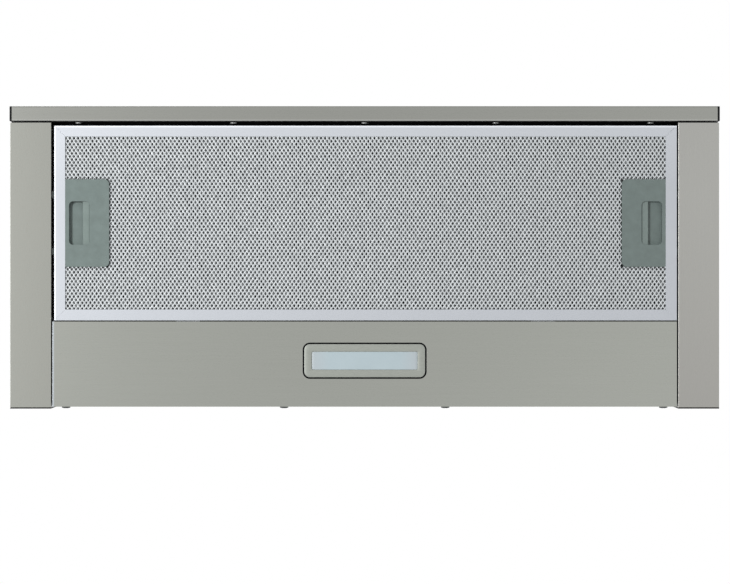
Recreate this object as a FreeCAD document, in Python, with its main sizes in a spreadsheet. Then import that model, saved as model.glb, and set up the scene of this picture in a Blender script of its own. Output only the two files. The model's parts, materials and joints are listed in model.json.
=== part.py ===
"""Slide-out range hood for a 60 cm wall cabinet, closed.

Lengths are in millimetres. +Z is up, the front faces -Y and +X is to the right seen from the
front. The origin is the middle of the outline at the height of the underside.
"""
import FreeCAD, Part
import Sketcher
import math
import os
import re

V = FreeCAD.Vector
doc = FreeCAD.newDocument("SlideOutHood")


# Driving dimensions

SIZES = {
    # whole hood
    "closed_depth": 255.2, "tray_width": 598, "tray_height": 41, "tray_sheet": 1,
    # pull-out bar and its end caps
    "fascia_side_reach": 0.6, "fascia_depth": 12.65, "fascia_wall": 1.4, "fascia_corner": 1.2,
    "end_cap_plate": 1.9, "plug_depth": 8, "plug_clearance": 0.1, "plug_wall": 2,
    "inner_screw_offset": 111, "outer_screw_inset": 55.7, "fascia_screw_level": 8.5,
    "fascia_screw_radius": 1.9, "fascia_head_radius": 2.9, "fascia_head_height": 1.1,
    "fascia_screw_length": 6,
    # side trims
    "fascia_gap": 1.3, "trim_width": 34.5, "trim_fold": 9, "trim_top_flange": 26,
    "trim_rear_cap": 1.1,
    # lower filter
    "filter_front_gap": 3.7, "filter_side_gap": 1.9, "filter_shift": 0.7,
    "filter_lift": 0.5, "filter_thickness": 9, "frame_strip": 9.3, "frame_sheet": 0.6,
    "mesh_sheet": 0.6, "mesh_clearance": 0.2, "tab_width": 20, "tab_reach": 4, "tab_offset": 150,
    "tab_clearance": 0.5,
    # handles and latches of the lower filter
    "handle_width": 37, "handle_length": 73.8, "handle_plate": 1.6, "handle_wall": 1.2,
    "handle_corner": 4.2, "handle_clearance": 0.3, "window_margin": 3.1, "window_width": 17.3,
    "window_length": 36.7, "window_corner": 3.5, "pocket_depth": 6.8,
    "finger_bar": 5.9, "latch_arm": 6, "latch_arm_offset": 24, "latch_thickness": 3.5,
    "latch_reach": 5.6, "latch_travel": 5, "latch_clearance": 0.3, "slot_clearance": 0.5,
    "spring_leaf": 0.5,
    # lamp panel and lamp
    "panel_gap": 0.9, "panel_side_gap": 1.15, "panel_depth": 71.8, "panel_front_flange": 10,
    "panel_rear_flange": 12,
    "lamp_setback": 33, "bezel_length": 102, "bezel_width": 28, "bezel_corner": 4.8,
    "lamp_groove": 1.3, "bezel_lip": 4, "bezel_lip_height": 1.6, "reflector_height": 7,
    "reflector_wall": 1.6, "lens_length": 89.4, "lens_width": 15.2, "lens_corner": 1.2,
    "lens_recess": 0.3, "lens_thickness": 1.8, "board_thickness": 1.6, "led_radius": 2.4,
    "led_height": 1.2, "led_spacing": 12, "driver_length": 80, "driver_width": 36,
    "driver_height": 22, "driver_offset": 130, "driver_setback": 32, "driver_corner": 2,
    # rear rail and the screws that hold the lamp panel to it
    "rail_sheet": 1.2, "rail_lift": 2, "rail_foot": 14, "panel_screw_head": 1.65,
    "panel_head_radius": 3.6, "panel_screw_radius": 1.75, "panel_screw_length": 9,
    "panel_screw_level": 6, "inner_panel_screw": 68.1, "panel_screw_inset": 10.95,
    "head_rounding": 0.8,
    # slides
    "slide_thickness": 10, "slide_rail_height": 27, "slide_setback": 15, "slide_rear_gap": 4.1,
    "slide_level": 24.5, "rail_steel": 1, "outer_flange": 9, "outer_lip": 2, "inner_flange": 6.6,
    "inner_rail_height": 18.6, "cage_strip": 0.8, "cage_web_gap": 0.6, "cage_flange": 5.4,
    "cage_height": 22.6, "ball_radius": 1.3, "ball_hole_clearance": 0.15, "cage_length": 80,
    "cage_setback": 92, "ball_spacing": 24, "ball_inset": 5.5,
    # carriage
    "carriage_level": 12, "carriage_sheet": 0.8, "carriage_back_inset": 2.7,
    "carriage_wall_height": 25, "carriage_beam_height": 16, "carriage_flange_drop": 9,
    "carriage_flange_inset": 6, "carriage_side_inset": 33, "carriage_end_inset": 14,
    "arm_end_gap": 4, "carriage_filter_overlap": 6, "carriage_filter_thickness": 8,
    # tray top, housing and mounting brackets
    "tray_opening_side": 49, "tray_opening_front": 40, "tray_opening_back": 6.15,
    "housing_side_gap": 3.5, "housing_setback": 21, "housing_rear_gap": 2.2, "housing_top": 203,
    "bead_width": 12, "bead_corner": 5.4, "bead_height": 1.1, "bead_inset": 34, "bead_low": 84,
    "bead_high": 168, "top_bead_offset": 190,
    "housing_wall": 0.8, "housing_flange": 8, "housing_front_flange": 5, "bracket_sheet": 2,
    "bracket_level": 70, "bracket_height": 40, "bracket_end_inset": 21,
    "bracket_hole_radius": 2.25, "bracket_hole_spacing": 128, "bracket_corner": 6,
    "housing_hole_radius": 4,
    # blower
    "fan_setback": 101, "fan_level": 119, "volute_radius": 64, "volute_step": 6,
    "scroll_wall": 1.5, "scroll_width": 100, "inlet_radius": 46, "outlet_rim": 8,
    "outlet_rim_thickness": 2, "wheel_radius": 56, "wheel_inner_radius": 47.5, "wheel_width": 88,
    "wheel_disc": 2, "hub_radius": 9, "hub_length": 20, "blade_thickness": 1, "blade_sweep": 4.5,
    "blade_curve": 9, "wheel_ring": 2.5, "wheel_ring_width": 2, "hub_fit": 0.02,
    "inlet_ring_width": 8, "inlet_ring_depth": 6, "motor_radius": 33, "motor_length": 38,
    "motor_corner": 3, "bearing_clearance": 0.05, "motor_shaft_radius": 4, "shaft_stub": 14,
    "shaft_end_gap": 2, "spider_sheet": 2, "spider_rim": 6, "spider_hub": 22, "spider_arm": 12,
    "capacitor_radius": 15, "capacitor_length": 60, "capacitor_offset": 150,
    "capacitor_rear_gap": 38, "capacitor_rounding": 2,
    # terminal box and cable gland
    "terminal_length": 70, "terminal_depth": 40, "terminal_height": 45, "terminal_wall": 2,
    "terminal_side_gap": 31, "terminal_level": 140, "lid_thickness": 3, "lid_corner": 3,
    "gland_offset": 110, "gland_rear_gap": 28, "gland_radius": 9, "gland_bore_radius": 3.75,
    "gland_collar": 12, "gland_collar_height": 4, "gland_neck": 8, "gland_fit": 0.2,
    # duct spigot and flaps
    "spigot_radius": 59.5, "spigot_wall": 2, "spigot_height": 30, "spigot_flange_radius": 70,
    "spigot_flange": 2, "spigot_screw_circle": 65, "spigot_screw_radius": 1.6,
    "spigot_head_radius": 3, "spigot_head_height": 1.5, "spigot_screw_length": 5, "ledge_width": 2,
    "ledge_height": 2, "flap_clearance": 0.3, "flap_thickness": 1.2, "flap_rim_gap": 0.7,
    "flap_pin_offset": 4, "flap_pin_radius": 1, "pin_clearance": 0.08, "flap_sleeve_radius": 2.2,
    "flap_sleeve_length": 96, "bridge_width": 6, "bridge_height": 1.4,
    # controls
    "control_side_gap": 14.5, "control_length": 130, "control_setback": 18, "control_depth": 16,
    "control_level": 29.5, "control_wall": 2, "slot_level": 32.5,
    "slot_height": 4, "speed_slot_offset": 22, "light_slot_offset": 34, "knob_length": 12,
    "knob_height": 6, "knob_reach": 2.7, "knob_gap": 0.3, "knob_corner": 0.8, "stem_length": 6,
    "stem_height": 3, "stem_depth": 5.4, "speed_travel": 30, "light_travel": 10,
    "module_setback": 25, "module_length": 110,
    # microswitch
    "switch_offset": 150, "switch_gap": 4.35, "switch_length": 20, "switch_depth": 9.5,
    "switch_height": 20, "plunger_radius": 1.5, "plunger_level": 25, "plunger_gap": 0.3,
    "plunger_bore": 5, "plunger_seat": 3, "plunger_clearance": 0.06,
    # one overrun for every cut
    "overrun": 5,
}
COUNTS = {"blade_count": 30, "led_count": 6, "spider_arms": 3}

sheet = doc.addObject("Spreadsheet::Sheet", "Sizes")
for row, (alias, number) in enumerate({**SIZES, **COUNTS}.items(), start=1):
    sheet.set(f"A{row}", alias)
    sheet.set(f"B{row}", str(number))
    sheet.setAlias(f"B{row}", alias)
doc.recompute()


# Places worked out from the driving dimensions

PLACES = {
    "front": "-closed_depth / 2",
    "rear": "closed_depth / 2",
    "fascia_back": "front + fascia_depth",
    "bar_end": "trim_out + fascia_side_reach - end_cap_plate",
    "trim_front": "fascia_back + fascia_gap",
    "trim_back": "rear - trim_rear_cap",
    "trim_out": "tray_width / 2",
    "trim_wall": "trim_out - tray_sheet",
    "trim_edge": "trim_out - trim_width",
    "trim_top_edge": "trim_out - trim_top_flange",
    "tray_under": "tray_height - tray_sheet",
    "filter_front": "fascia_back + filter_front_gap",
    "filter_back": "panel_front - panel_gap",
    "filter_middle": "(filter_front + filter_back) / 2",
    "filter_left": "filter_shift - trim_edge + filter_side_gap",
    "filter_right": "filter_shift + trim_edge - filter_side_gap",
    "filter_top": "filter_lift + filter_thickness",
    "mesh_bottom": "filter_lift + frame_sheet",
    "core_bottom": "mesh_bottom + mesh_sheet",
    "core_top": "filter_top - frame_sheet - mesh_sheet",
    "handle_out": "filter_left + frame_strip",
    "handle_in": "handle_out + handle_width",
    "plate_top": "filter_lift + handle_plate",
    "window_out": "handle_out + window_margin",
    "window_in": "window_out + window_width",
    "bar_out": "window_in - finger_bar",
    "latch_bottom": "plate_top + latch_clearance",
    "ceiling_bottom": "filter_lift + pocket_depth",
    "arm_low": "latch_arm_offset - latch_arm / 2",
    "arm_high": "latch_arm_offset + latch_arm / 2",
    "panel_back": "rear - panel_screw_head",
    "panel_front": "panel_back - panel_depth",
    "panel_side": "trim_edge - panel_side_gap",
    "lamp_y": "panel_front + lamp_setback",
    "rail_back": "panel_back - tray_sheet",
    "rail_front": "rail_back - rail_sheet",
    "slide_out": "trim_wall",
    "carriage_side": "trim_wall - slide_thickness",
    "slide_front": "front + slide_setback",
    "slide_length": "trim_back - slide_rear_gap - slide_front",
    "carriage_back": "filter_back - carriage_back_inset",
    "carriage_floor": "carriage_level + carriage_sheet",
    "opening_side": "carriage_side - carriage_side_inset",
    "opening_front": "fascia_back + carriage_end_inset",
    "opening_back": "carriage_back - carriage_end_inset",
    "housing_side": "trim_edge - housing_side_gap",
    "housing_front": "front + housing_setback",
    "housing_back": "rear - housing_rear_gap",
    "fan_y": "front + fan_setback",
    "half_step": "volute_step / 2",
    "radius_two": "volute_radius + volute_step",
    "radius_three": "volute_radius + 2 * volute_step",
    "outlet_top": "housing_top - housing_wall - fan_level",
    "outlet_front": "-half_step",
    "outlet_back": "half_step + radius_three",
    "spigot_y": "fan_y + (outlet_front + scroll_wall + outlet_back) / 2",
    "spigot_bore": "spigot_radius - spigot_wall",
    "ledge_top": "housing_top + spigot_flange + ledge_height",
    "pin_level": "ledge_top + flap_clearance + flap_thickness / 2",
    "flap_reach": "spigot_bore - flap_rim_gap",
    "control_front": "front + control_setback",
    "control_right": "trim_edge - control_side_gap",
    "control_left": "control_right - control_length",
    "speed_left": "control_left + speed_slot_offset",
    "light_left": "control_right - light_slot_offset",
    "terminal_front": "housing_back - housing_wall - terminal_depth",
    "capacitor_y": "housing_back - capacitor_rear_gap",
    "terminal_right": "housing_side - terminal_side_gap",
    "gland_y": "housing_back - gland_rear_gap",
    "switch_front": "carriage_back + switch_gap",
}


def full(expression):
    """Writes out the places in an expression and points each size at its cell."""
    def swap(match):
        word = match.group(0)
        if word in PLACES:
            return "(" + full(PLACES[word]) + ")"
        if word in SIZES or word in COUNTS:
            return "Sizes." + word
        return word
    return re.sub(r"[a-z][a-z_0-9]*", swap, str(expression))


def value(expression):
    """The number that an expression stands for now."""
    return float(sheet.evalExpression(full(expression)))


# Building blocks

nodes = {}


def keep(shape, name):
    """Gives a finished sub-part its name."""
    shape.Label = name
    nodes[name] = shape
    return shape


def block(name, x, y, z):
    """A box between a low and a high place along each axis."""
    box = doc.addObject("Part::Box", name)
    for size, axis, (low, high) in (("Length", "x", x), ("Width", "y", y), ("Height", "z", z)):
        box.setExpression(size, full(f"({high}) - ({low})"))
        box.setExpression("Placement.Base." + axis, full(low))
    return box


TURNS = {"x": FreeCAD.Rotation(V(0, 1, 0), 90), "y": FreeCAD.Rotation(V(1, 0, 0), -90),
         "z": FreeCAD.Rotation()}


def rod(name, along, radius, start, length, across):
    """A cylinder along one axis; across gives its places on the two other axes in order."""
    cylinder = doc.addObject("Part::Cylinder", name)
    cylinder.Placement = FreeCAD.Placement(V(), TURNS[along])
    cylinder.setExpression("Radius", full(radius))
    cylinder.setExpression("Height", full(length))
    places = dict(zip([axis for axis in "xyz" if axis != along], across))
    places[along] = start
    for axis, place in places.items():
        cylinder.setExpression("Placement.Base." + axis, full(place))
    return cylinder


def fuse(name, *shapes):
    joined = doc.addObject("Part::MultiFuse", name)
    joined.Shapes = list(shapes)
    return joined


def group(name, *shapes):
    """Pieces that touch and are welded, kept as solids of their own."""
    together = doc.addObject("Part::Compound", name)
    together.Links = list(shapes)
    return together


def cut(name, base, *tools):
    result = doc.addObject("Part::Cut", name)
    result.Base = base
    result.Tool = tools[0] if len(tools) == 1 else fuse(name + "_tools", *tools)
    return result


def common(name, base, tool):
    result = doc.addObject("Part::Common", name)
    result.Base = base
    result.Tool = tool
    return result


def mirrored(name, source, middle="0"):
    """The other hand of a piece, across an upright plane at middle."""
    twin = doc.addObject("Part::Mirroring", name)
    twin.Source = source
    twin.Normal = V(1, 0, 0)
    twin.setExpression("Base.x", full(middle))
    return twin


def new_body(name):
    body = doc.addObject("PartDesign::Body", name)
    doc.recompute()
    return body


def origin_feature(body, role):
    return next(item for item in body.Origin.OriginFeatures if item.Role == role)


def sketch_on(body, name, role, level="0"):
    """A sketch on one of the body's own origin planes, raised along its normal."""
    sketch = body.newObject("Sketcher::SketchObject", name)
    sketch.AttachmentSupport = (origin_feature(body, role), [""])
    sketch.MapMode = "FlatFace"
    sketch.setExpression("AttachmentOffset.Base.z", full(level))
    return sketch


def bind(sketch, kind, place, expression):
    """Adds one dimension to a sketch and ties it to an expression."""
    index = sketch.addConstraint(Sketcher.Constraint(kind, *place, value(expression)))
    sketch.setExpression(f"Constraints[{index}]", full(expression))


def outline(sketch, corners):
    """A closed loop. A corner is (u, v), or (u, v, radius, centre u, centre v) before an arc."""
    points = [V(value(corner[0]), value(corner[1]), 0) for corner in corners]
    sides = []
    for index, corner in enumerate(corners):
        here = points[index]
        there = points[(index + 1) % len(points)]
        if len(corner) == 2:
            edge = sketch.addGeometry(Part.LineSegment(here, there))
            sides.append((edge, 1, 2))
            continue
        centre = V(value(corner[3]), value(corner[4]), 0)
        to_here = here - centre
        to_there = there - centre
        counter_clockwise = to_here.x * to_there.y - to_here.y * to_there.x > 0
        first, last = (to_here, to_there) if counter_clockwise else (to_there, to_here)
        circle = Part.Circle(centre, V(0, 0, 1), value(corner[2]))
        start = math.atan2(first.y, first.x)
        end = math.atan2(last.y, last.x)
        edge = sketch.addGeometry(Part.ArcOfCircle(circle, start, end))
        sides.append((edge, 1, 2) if counter_clockwise else (edge, 2, 1))
    for index, (edge, start, end) in enumerate(sides):
        following = sides[(index + 1) % len(sides)]
        sketch.addConstraint(Sketcher.Constraint("Coincident", edge, end, following[0], following[1]))
        bind(sketch, "DistanceX", (-1, 1, edge, start), corners[index][0])
        bind(sketch, "DistanceY", (-1, 1, edge, start), corners[index][1])
        if len(corners[index]) > 2:
            bind(sketch, "Radius", (edge,), corners[index][2])


def rectangle(sketch, u, v, corner=None):
    """A rectangle between two places each way, with rounded corners if a radius is given."""
    (low_u, high_u), (low_v, high_v) = u, v
    if corner is None:
        outline(sketch, [(low_u, low_v), (high_u, low_v), (high_u, high_v), (low_u, high_v)])
        return
    in_low_u, in_high_u = f"({low_u}) + {corner}", f"({high_u}) - {corner}"
    in_low_v, in_high_v = f"({low_v}) + {corner}", f"({high_v}) - {corner}"
    outline(sketch, [
        (in_low_u, low_v), (in_high_u, low_v, corner, in_high_u, in_low_v),
        (high_u, in_low_v), (high_u, in_high_v, corner, in_high_u, in_high_v),
        (in_high_u, high_v), (in_low_u, high_v, corner, in_low_u, in_high_v),
        (low_u, in_high_v), (low_u, in_low_v, corner, in_low_u, in_low_v)])


def circle(sketch, u, v, radius):
    edge = sketch.addGeometry(Part.Circle(V(value(u), value(v), 0), V(0, 0, 1), value(radius)))
    bind(sketch, "DistanceX", (-1, 1, edge, 3), u)
    bind(sketch, "DistanceY", (-1, 1, edge, 3), v)
    bind(sketch, "Radius", (edge,), radius)


def pad(body, sketch, length, middle=False, reverse=False):
    feature = body.newObject("PartDesign::Pad", sketch.Name + "_pad")
    feature.Profile = sketch
    feature.setExpression("Length", full(length))
    feature.Midplane = middle
    feature.Reversed = reverse
    doc.recompute()
    return feature


def pocket(body, sketch, length, middle=False, reverse=False):
    """A pocket whose direction is checked: it has to take material away."""
    before = body.Shape.Volume
    feature = body.newObject("PartDesign::Pocket", sketch.Name + "_pocket")
    feature.Profile = sketch
    feature.setExpression("Length", full(length))
    feature.Midplane = middle
    feature.Reversed = reverse
    doc.recompute()
    if body.Shape.Volume >= before:
        raise ValueError(f"{sketch.Name} cuts nothing from {body.Name}")
    return feature


def plate(name, x, y, z, corner=None, holes=()):
    """A flat or blocky piece drawn from above: an outline with openings, padded upwards."""
    body = new_body(name)
    sketch = sketch_on(body, name + "_outline", "XY_Plane", z[0])
    rectangle(sketch, x, y, corner)
    for hole in holes:
        rectangle(sketch, *hole)
    pad(body, sketch, f"({z[1]}) - ({z[0]})")
    return body


def rounded(name, base, radius, chosen):
    """Rounds the edges of a piece that the test picks out."""
    doc.recompute()
    soft = doc.addObject("Part::Fillet", name)
    soft.Base = base
    size = value(radius)
    soft.Edges = [(index, size, size) for index, edge in enumerate(base.Shape.Edges, start=1)
                  if chosen(edge)]
    return soft


def runs_along(edge, axis):
    """True for a straight edge along the named axis."""
    if edge.Curve.TypeId != "Part::GeomLine":
        return False
    direction = edge.Curve.Direction
    return abs(getattr(direction, axis)) > 0.999


# Pull-out bar with its end caps and screws

def make_fascia():
    bar = new_body("fascia_body")
    section = sketch_on(bar, "fascia_section", "YZ_Plane")
    rectangle(section, ("front", "fascia_back"), ("0", "tray_height"), "fascia_corner")
    rectangle(section, ("front + fascia_wall", "fascia_back - fascia_wall"),
              ("fascia_wall", "tray_height - fascia_wall"))
    pad(bar, section, "2 * bar_end", middle=True)
    holes = sketch_on(bar, "fascia_screw_holes", "XZ_Plane", "-(fascia_back + overrun)")
    for offset in fascia_screw_places():
        circle(holes, offset, "fascia_screw_level", "fascia_screw_radius")
    pocket(bar, holes, "overrun + fascia_wall + overrun / 2", reverse=True)
    keep(bar, "fascia")

    cap = plate("end_cap_plate_body", ("bar_end", "bar_end + end_cap_plate"),
                ("front", "fascia_back"), ("0", "tray_height"))
    inset = "(fascia_wall + plug_clearance)"
    outer = (f"front + {inset}", f"fascia_back - {inset}")
    plug = block("plug", ("bar_end - plug_depth", "bar_end"), outer,
                 (inset, f"tray_height - {inset}"))
    hollow = block("plug_hollow", ("bar_end - plug_depth - overrun", "bar_end"),
                   (outer[0] + " + plug_wall", outer[1] + " - plug_wall"),
                   (inset + " + plug_wall", f"tray_height - {inset} - plug_wall"))
    right = fuse("cap_right", cap, cut("plug_shell", plug, hollow))
    soft = rounded("cap_right_rounded", right, "fascia_corner",
                   lambda edge: runs_along(edge, "x")
                   and edge.BoundBox.XMax > value("bar_end + end_cap_plate / 2"))
    keep(fuse("end_caps", soft, mirrored("cap_left", soft)), "fascia_end_caps")

    screws = []
    for index, offset in enumerate(fascia_screw_places()):
        seat = "fascia_back + carriage_sheet"
        head = rod(f"fascia_head_{index}", "y", "fascia_head_radius", seat, "fascia_head_height",
                   (offset, "fascia_screw_level"))
        shank = rod(f"fascia_shank_{index}", "y", "fascia_screw_radius",
                    f"{seat} - fascia_screw_length", "fascia_screw_length",
                    (offset, "fascia_screw_level"))
        screws.append(fuse(f"fascia_screw_{index}", head, shank))
    keep(fuse("fascia_screw_set", *screws), "fascia_screws")


def fascia_screw_places():
    outer = "(bar_end - outer_screw_inset)"
    return ["-" + outer, "-inner_screw_offset", "0", "inner_screw_offset", outer]


# Side trims: folded channels that carry the slides and catch the filter latches

def make_side_trims():
    body = new_body("side_trim_body")
    section = sketch_on(body, "trim_section", "XZ_Plane", "-trim_front")
    outline(section, [
        ("trim_edge", "0"), ("trim_out", "0"), ("trim_out", "tray_height"),
        ("trim_top_edge", "tray_height"), ("trim_top_edge", "tray_under"),
        ("trim_wall", "tray_under"), ("trim_wall", "tray_sheet"),
        ("trim_edge + tray_sheet", "tray_sheet"), ("trim_edge + tray_sheet", "trim_fold"),
        ("trim_edge", "trim_fold")])
    pad(body, section, "trim_back - trim_front", reverse=True)
    slots = []
    for side, sign in (("front", "-"), ("back", "+")):
        middle = f"filter_middle {sign} latch_arm_offset"
        reach = "(latch_arm / 2 + slot_clearance)"
        slots.append(block(f"latch_slot_{side}", ("trim_edge - overrun", "trim_edge + overrun"),
                           (f"{middle} - {reach}", f"{middle} + {reach}"),
                           ("latch_bottom - slot_clearance",
                            "latch_bottom + latch_thickness + slot_clearance")))
    right = cut("trim_right", body, *slots)
    keep(right, "side_trim_right")
    keep(mirrored("trim_left", right), "side_trim_left")
    cap = block("rear_cap", ("trim_edge", "trim_out"), ("trim_back", "rear"), ("0", "tray_under"))
    keep(fuse("rear_caps", cap, mirrored("rear_cap_left", cap)), "trim_rear_caps")


# Lower filter: a folded frame of four mitred strips round a stack of mesh

def make_lower_filter():
    outside = (("filter_left", "filter_right"), ("filter_front", "filter_back"),
               ("filter_lift", "filter_top"))
    inner = [(f"{outside[0][0]} + frame_strip", f"{outside[0][1]} - frame_strip"),
             (f"{outside[1][0]} + frame_strip", f"{outside[1][1]} - frame_strip")]
    inside = [(f"{outside[0][0]} + frame_sheet", f"{outside[0][1]} - frame_sheet"),
              (f"{outside[1][0]} + frame_sheet", f"{outside[1][1]} - frame_sheet")]
    full_height = ("filter_lift - overrun", "filter_top + overrun")
    ring = cut("frame_ring", block("frame_outside", *outside),
               block("frame_opening", *inner, full_height),
               block("frame_inside", *inside, ("mesh_bottom", "filter_top - frame_sheet")))

    arm_slots = []
    for side, sign in (("front", "-"), ("back", "+")):
        middle = f"filter_middle {sign} latch_arm_offset"
        reach = "(latch_arm / 2 + latch_clearance)"
        arm_slots.append(block(f"arm_slot_{side}", ("filter_left - overrun", "filter_right + overrun"),
                               (f"{middle} - {reach}", f"{middle} + {reach}"),
                               ("latch_bottom - latch_clearance",
                                "latch_bottom + latch_thickness + latch_clearance")))
    tabs = []
    for side, sign in (("left", "-"), ("right", "")):
        middle = f"filter_shift + ({sign}tab_offset)"
        tabs.append(block(f"frame_tab_{side}", (f"{middle} - tab_width / 2", f"{middle} + tab_width / 2"),
                          ("filter_back - frame_sheet", "filter_back + tab_reach"),
                          ("core_bottom + tab_reach", "core_bottom + tab_reach + frame_sheet")))

    left, right = outside[0]
    low, high = outside[1]
    in_left, in_right = inner[0]
    in_low, in_high = inner[1]
    wedges = {
        "front": [(left, low), (right, low), (in_right, in_low), (in_left, in_low)],
        "rear": [(left, high), (in_left, in_high), (in_right, in_high), (right, high)],
        "left": [(left, low), (in_left, in_low), (in_left, in_high), (left, high)],
        "right": [(right, low), (right, high), (in_right, in_high), (in_right, in_low)],
    }
    for side, corners in wedges.items():
        body = new_body(f"wedge_{side}")
        sketch = sketch_on(body, f"wedge_{side}_outline", "XY_Plane", "filter_lift")
        outline(sketch, corners)
        pad(body, sketch, "filter_thickness")
        strip = common(f"strip_{side}", ring, body)
        if side == "rear":
            strip = fuse("strip_rear_with_tabs", strip, *tabs)
        if side in ("left", "right"):
            strip = cut(f"strip_{side}_with_slots", strip, *arm_slots)
        keep(strip, f"filter_strip_{side}")

    gap = "(frame_sheet + mesh_clearance)"
    x = (f"filter_left + {gap}", f"filter_right - {gap}")
    y = (f"filter_front + {gap}", f"filter_back - {gap}")
    cut_out = []
    for side, low_x, high_x in (
            ("left", "filter_left", "handle_in + handle_clearance"),
            ("right", "2 * filter_shift - handle_in - handle_clearance", "filter_right")):
        reach = "(handle_length / 2 + handle_clearance)"
        cut_out.append(block(f"handle_space_{side}", (low_x, high_x),
                             (f"filter_middle - {reach}", f"filter_middle + {reach}"),
                             ("mesh_bottom", "core_top")))
    sheets = {"filter_face_mesh": ("mesh_bottom", "core_bottom"),
              "filter_core": ("core_bottom", "core_top")}
    for name, z in sheets.items():
        keep(cut(name + "_cut", block(name + "_sheet", x, y, z), *cut_out), name)
    keep(block("back_mesh_sheet", x, y, ("core_top", "filter_top - frame_sheet")),
         "filter_back_mesh")


# Handles and latches of the lower filter

def make_handles():
    body = new_body("handle_body")
    foot = sketch_on(body, "handle_outline", "XY_Plane", "filter_lift")
    y = ("filter_middle - handle_length / 2", "filter_middle + handle_length / 2")
    bend_u, low_v, high_v = ("handle_in - handle_corner", f"{y[0]} + handle_corner",
                             f"{y[1]} - handle_corner")
    outline(foot, [
        ("handle_out", y[0]), (bend_u, y[0], "handle_corner", bend_u, low_v),
        ("handle_in", low_v), ("handle_in", high_v, "handle_corner", bend_u, high_v),
        (bend_u, y[1]), ("handle_out", y[1])])
    pad(body, foot, "core_top - filter_lift")
    well = sketch_on(body, "handle_well", "XY_Plane", "core_top")
    rectangle(well, ("handle_out + handle_wall", "handle_in - handle_wall"),
              (f"{y[0]} + handle_wall", f"{y[1]} - handle_wall"), "(handle_corner - handle_wall)")
    pocket(body, well, "core_top - plate_top")
    opening = sketch_on(body, "handle_window", "XY_Plane", "plate_top")
    rectangle(opening, ("window_out", "window_in"),
              ("filter_middle - window_length / 2", "filter_middle + window_length / 2"),
              "window_corner")
    pocket(body, opening, "handle_plate")

    wall_y = ("filter_middle - window_length / 2 - handle_wall",
              "filter_middle + window_length / 2 + handle_wall")
    hood = block("pocket_hood", ("window_out - handle_wall", "bar_out - latch_clearance"), wall_y,
                 ("plate_top", "core_top"))
    hollow = block("pocket_hollow", ("window_out", "window_in"),
                   ("filter_middle - window_length / 2", "filter_middle + window_length / 2"),
                   ("filter_lift", "ceiling_bottom"))
    ceiling = block("pocket_ceiling_plate",
                    ("window_out - handle_wall", "window_in + latch_travel + handle_wall"), wall_y,
                    ("ceiling_bottom", "core_top"))
    arm_slots = []
    for side, sign in (("front", "-"), ("back", "+")):
        middle = f"filter_middle {sign} latch_arm_offset"
        reach = "(latch_arm / 2 + latch_clearance)"
        arm_slots.append(block(f"handle_slot_{side}",
                               ("handle_out - overrun", "handle_out + handle_wall"),
                               (f"{middle} - {reach}", f"{middle} + {reach}"),
                               ("plate_top", "latch_bottom + latch_thickness + latch_clearance")))
    left = fuse("handle_left_parts", cut("handle_left_slotted", body, *arm_slots),
                cut("pocket_shell", hood, hollow), ceiling)
    keep(left, "handle_left")
    keep(mirrored("handle_right_twin", left, "filter_shift"), "handle_right")

    latch = new_body("latch_body")
    fork = sketch_on(latch, "latch_outline", "XY_Plane", "latch_bottom")
    tip = "filter_left - latch_reach"
    outline(fork, [
        (tip, "filter_middle - arm_high"), ("window_in", "filter_middle - arm_high"),
        ("window_in", "filter_middle + arm_high"), (tip, "filter_middle + arm_high"),
        (tip, "filter_middle + arm_low"), ("bar_out", "filter_middle + arm_low"),
        ("bar_out", "filter_middle - arm_low"), (tip, "filter_middle - arm_low")])
    pad(latch, fork, "latch_thickness")
    keep(latch, "filter_latch_left")
    keep(mirrored("latch_right_twin", latch, "filter_shift"), "filter_latch_right")

    bow = new_body("spring_body")
    leaf = sketch_on(bow, "spring_outline", "XY_Plane", "latch_bottom")
    end = "handle_in - handle_wall - latch_clearance"
    outer = f"({end}) - window_in - latch_clearance"
    outline(leaf, [
        (end, f"filter_middle - ({outer})", outer, end, "filter_middle"),
        (f"({end}) - ({outer})", "filter_middle", outer, end, "filter_middle"),
        (end, f"filter_middle + ({outer})"),
        (end, f"filter_middle + ({outer}) - spring_leaf", f"({outer}) - spring_leaf", end,
         "filter_middle"),
        (f"({end}) - ({outer}) + spring_leaf", "filter_middle", f"({outer}) - spring_leaf", end,
         "filter_middle"),
        (end, f"filter_middle - ({outer}) + spring_leaf")])
    pad(bow, leaf, "latch_thickness")
    keep(bow, "latch_spring_left")
    keep(mirrored("spring_right_twin", bow, "filter_shift"), "latch_spring_right")


# Lamp panel with the lamp in it

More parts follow.
